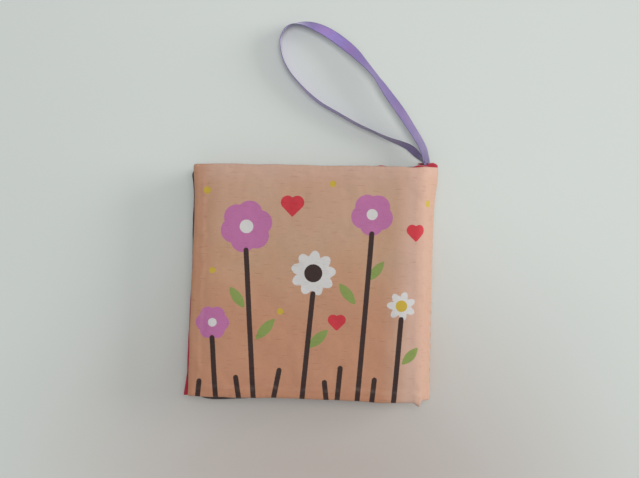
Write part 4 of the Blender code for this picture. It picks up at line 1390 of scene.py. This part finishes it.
def addTack(material):
    # a rounded bar whose skin swells over every wrap of thread
    low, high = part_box("hang_loop_tack")
    middle, size = (low + high) / 2, high - low
    share = np.sin(np.linspace(-0.5, 0.5, tack["stations"]) * math.pi)
    angle = np.linspace(0, 2 * math.pi, tack["around"], endpoint=False)
    wraps = np.abs(np.cos(share * tack["wraps"] * math.pi + tack["slant"] * np.sin(angle)[:, None])).T
    taper = np.sqrt(np.clip(1 - np.abs(share) ** tack["taper"], 0, 1))[:, None]
    swell = taper * (1 - tack["wrapRise"] / (size.y / 2) * (1 - wraps))
    section = [np.sign(wave) * np.abs(wave) ** tack["square"] for wave in (np.cos(angle), np.sin(angle))]
    rings = np.stack((
        np.broadcast_to(middle.x + share[:, None] * size.x / 2, swell.shape),
        middle.y + section[0] * size.y / 2 * swell,
        middle.z + section[1] * size.z / 2 * swell), axis=-1)
    flat = np.stack(np.broadcast_arrays(share[:, None] * size.x / 2, angle[None, :] * size.z / 2), axis=-1)
    piece = sweptMesh("hangLoopBarTack", rings, flat)
    piece.data.materials.append(material)
    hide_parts("hang_loop_tack")
    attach(piece, "back_cover")


threadColours = {  # dull, light and dark
    "sewingThread": ((0.48, 0.33, 0.25), (0.60, 0.45, 0.36), (0.30, 0.19, 0.13)),
    "tackThread": ((0.30, 0.012, 0.030), (0.42, 0.022, 0.045), (0.16, 0.006, 0.014)),
}
threadLook = {
    "twist": (9000.0, 5200.0), "fuzz": 900, "darkShare": 0.25, "roughness": (0.45, 0.7),
    "bumpStrength": 0.4, "bumpDistance": 0.00004,
}


def threadMaterial(name):
    # fibres that wind round the thread, and fuzz
    (dull, light, dark), look = threadColours[name], threadLook
    material, tree, shader, flat = startMaterial(
        name, look["roughness"][0], Sheen_Weight=0.4, Sheen_Roughness=0.4)
    axes = addNode(tree, "ShaderNodeSeparateXYZ", {0: flat}).outputs
    twist = maths(tree, "ADD", *(
        maths(tree, "MULTIPLY", axes[axis], scale) for axis, scale in enumerate(look["twist"])))
    fibre = maths(tree, "SINE", twist)
    noise = addNode(tree, "ShaderNodeTexNoise", {
        "Vector": flat, "Scale": look["fuzz"], "Detail": 3}).outputs["Fac"]
    colour = mixColour(tree, mapRange(tree, noise, 0.3, 0.7), dull, light)
    colour = mixColour(tree, mapRange(tree, fibre, -1, 1, 0.0, look["darkShare"]), colour, dark)
    tree.links.new(colour, shader.inputs["Base Color"])
    tree.links.new(mapRange(tree, noise, 0.2, 0.8, *look["roughness"]), shader.inputs["Roughness"])
    bump = addNode(tree, "ShaderNodeBump", {
        "Height": fibre, "Strength": look["bumpStrength"], "Distance": look["bumpDistance"]})
    tree.links.new(bump.outputs[0], shader.inputs["Normal"])
    return material


filmLook = {
    "crease": (0.90, 0.92, 0.94), "flat": (0.74, 0.77, 0.80), "creases": 210, "creaseReach": 0.18,
    "haze": 500, "roughness": (0.14, 0.34), "bumpStrength": 0.8, "bumpDistance": 0.0003,
}


def filmMaterial():
    # crinkle film: clear plastic full of small creases, which run between cells
    material, tree, shader, _ = startMaterial(
        "crinkleFilm", filmLook["roughness"][0], Transmission_Weight=0.35, IOR=1.5)
    place = addNode(tree, "ShaderNodeTexCoord").outputs["Object"]
    cells = addNode(tree, "ShaderNodeTexVoronoi", {
        "Vector": place, "Scale": filmLook["creases"]}, feature="DISTANCE_TO_EDGE")
    crease = mapRange(tree, cells.outputs["Distance"], 0.0, filmLook["creaseReach"])
    noise = addNode(tree, "ShaderNodeTexNoise", {
        "Vector": place, "Scale": filmLook["haze"], "Detail": 3}).outputs["Fac"]
    colour = mixColour(tree, crease, filmLook["crease"], filmLook["flat"])
    tree.links.new(colour, shader.inputs["Base Color"])
    tree.links.new(mapRange(tree, noise, 0.3, 0.7, *filmLook["roughness"]), shader.inputs["Roughness"])
    bump = addNode(tree, "ShaderNodeBump", {
        "Height": crease, "Strength": filmLook["bumpStrength"], "Distance": filmLook["bumpDistance"]})
    tree.links.new(bump.outputs[0], shader.inputs["Normal"])
    return material


waddingLook = {
    "shade": (0.72, 0.72, 0.70), "fibre": (0.88, 0.88, 0.87), "clump": (0.66, 0.66, 0.63),
    "fibres": 700, "tangle": 2.5, "clumps": 110, "clumpShare": 0.3, "roughness": 0.95,
    "bumpStrength": 0.9, "bumpDistance": 0.0004,
}


def waddingMaterial():
    # polyester wadding: matted white fibres, with greyer clumps
    look = waddingLook
    material, tree, shader, _ = startMaterial(
        "wadding", look["roughness"], Sheen_Weight=0.6, Sheen_Roughness=0.7)
    place = addNode(tree, "ShaderNodeTexCoord").outputs["Object"]
    fibres = addNode(tree, "ShaderNodeTexNoise", {
        "Vector": place, "Scale": look["fibres"], "Detail": 6, "Distortion": look["tangle"]}).outputs["Fac"]
    clumps = addNode(tree, "ShaderNodeTexNoise", {
        "Vector": place, "Scale": look["clumps"], "Detail": 3}).outputs["Fac"]
    colour = mixColour(tree, mapRange(tree, fibres, 0.3, 0.7), look["shade"], look["fibre"])
    clump = mapRange(tree, clumps, 0.35, 0.7, 0.0, look["clumpShare"])
    colour = mixColour(tree, clump, colour, look["clump"])
    tree.links.new(colour, shader.inputs["Base Color"])
    bump = addNode(tree, "ShaderNodeBump", {
        "Height": fibres, "Strength": look["bumpStrength"], "Distance": look["bumpDistance"]})
    tree.links.new(bump.outputs[0], shader.inputs["Normal"])
    return material


# Table and light
room = {
    "table": (0.61, 0.64, 0.605), "tableSize": 6.0, "tableLevel": -0.02 * mm,
    "tableRoughness": 0.5, "tableSpecular": 0.25,
    "mottle": (0.4, 0.4, 0.4), "mottles": 6, "mottleShare": 0.04,
    # a painted shadow: a faint warmer, darker patch in front of the book, fading out again farther off
    "warm": (0.45, 0.385, 0.35), "warmMiddle": (0.01, -0.13, 0), "warmReach": (0.20, 0.02),
    "warmDepth": (-0.15, -0.085),
    "world": (0.86, 0.90, 0.94), "worldStrength": 0.46,
    "lamps": {
        "window": {"place": (1.51, 0.40, 0.335), "size": 0.9, "power": 24.0, "colour": (1.0, 0.98, 0.97)},
        "ceiling": {"place": (0.10, 0.20, 1.60), "size": 0.80, "power": 11.0, "colour": (1.0, 0.995, 0.98)},
    },
}


def addTable():
    # one large square, a hair below the book
    half, level = room["tableSize"] / 2, room["tableLevel"]
    mesh = bpy.data.meshes.new("table")
    mesh.from_pydata([(-half, -half, level), (half, -half, level), (half, half, level), (-half, half, level)],
                     [], [(0, 1, 2, 3)])
    table = bpy.data.objects.new("table", mesh)
    bpy.context.scene.collection.objects.link(table)
    material = bpy.data.materials.new("table")
    material.use_nodes = True
    tree = material.node_tree
    shader = tree.nodes["Principled BSDF"]
    shader.inputs["Roughness"].default_value = room["tableRoughness"]
    shader.inputs["Specular IOR Level"].default_value = room["tableSpecular"]
    place = addNode(tree, "ShaderNodeTexCoord").outputs["Object"]
    noise = addNode(tree, "ShaderNodeTexNoise", {
        "Vector": place, "Scale": room["mottles"], "Detail": 2}).outputs["Fac"]
    # the painted shadow in front of the book
    away = addNode(tree, "ShaderNodeVectorMath", {
        0: place, 1: room["warmMiddle"]}, operation="DISTANCE").outputs["Value"]
    depth = addNode(tree, "ShaderNodeSeparateXYZ", {0: place}).outputs["Y"]
    near = mapRange(tree, away, *room["warmReach"])
    warm = maths(tree, "MULTIPLY", near, mapRange(tree, depth, *room["warmDepth"]))
    colour = mixColour(tree, warm, room["table"], room["warm"])
    mottle = mapRange(tree, noise, 0.3, 0.7, 0.0, room["mottleShare"])
    tree.links.new(mixColour(tree, mottle, colour, room["mottle"]), shader.inputs["Base Color"])
    mesh.materials.append(material)


def addLight():
    # an even pale room, and square lamps that face the book
    world = bpy.data.worlds.new("room")
    world.use_nodes = True
    background = world.node_tree.nodes["Background"]
    background.inputs["Color"].default_value = (*room["world"], 1)
    background.inputs["Strength"].default_value = room["worldStrength"]
    bpy.context.scene.world = world
    for name, lamp in room["lamps"].items():
        data = bpy.data.lights.new(name, "AREA")
        data.shape, data.size, data.energy, data.color = "SQUARE", lamp["size"], lamp["power"], lamp["colour"]
        holder = bpy.data.objects.new(name, data)
        holder.location = lamp["place"]
        holder.rotation_euler = (-holder.location).to_track_quat("-Z", "Y").to_euler()
        bpy.context.scene.collection.objects.link(holder)


def main():
    # the camera and the ribbon come first, then the leaves from cloths to threads, and the room
    addCamera()
    materials = {name: clothMaterial(name) for name in clothLooks}
    materials["satin"] = satinMaterial()
    materials["thread"] = threadMaterial("sewingThread")
    materials["tack"] = threadMaterial("tackThread")
    materials["film"] = filmMaterial()
    materials["wadding"] = waddingMaterial()
    print("materials:", len(materials))
    addRibbon(materials["satin"])
    print("ribbon laid out")
    pillows = simulateLeaves()
    for name in panels:
        addPanel(name, materials, pillows)
        print("cloth:", name)
    for name in outlines:
        addFilling(name, materials, pillows)
        addSeamThread(name, materials["thread"])
        print("filled and sewn:", name)
    addBindingStitch(materials["thread"])
    addTack(materials["tack"])
    print("threads done")
    addTable()
    addLight()
    bpy.context.scene.view_settings.view_transform = "Standard"


main()
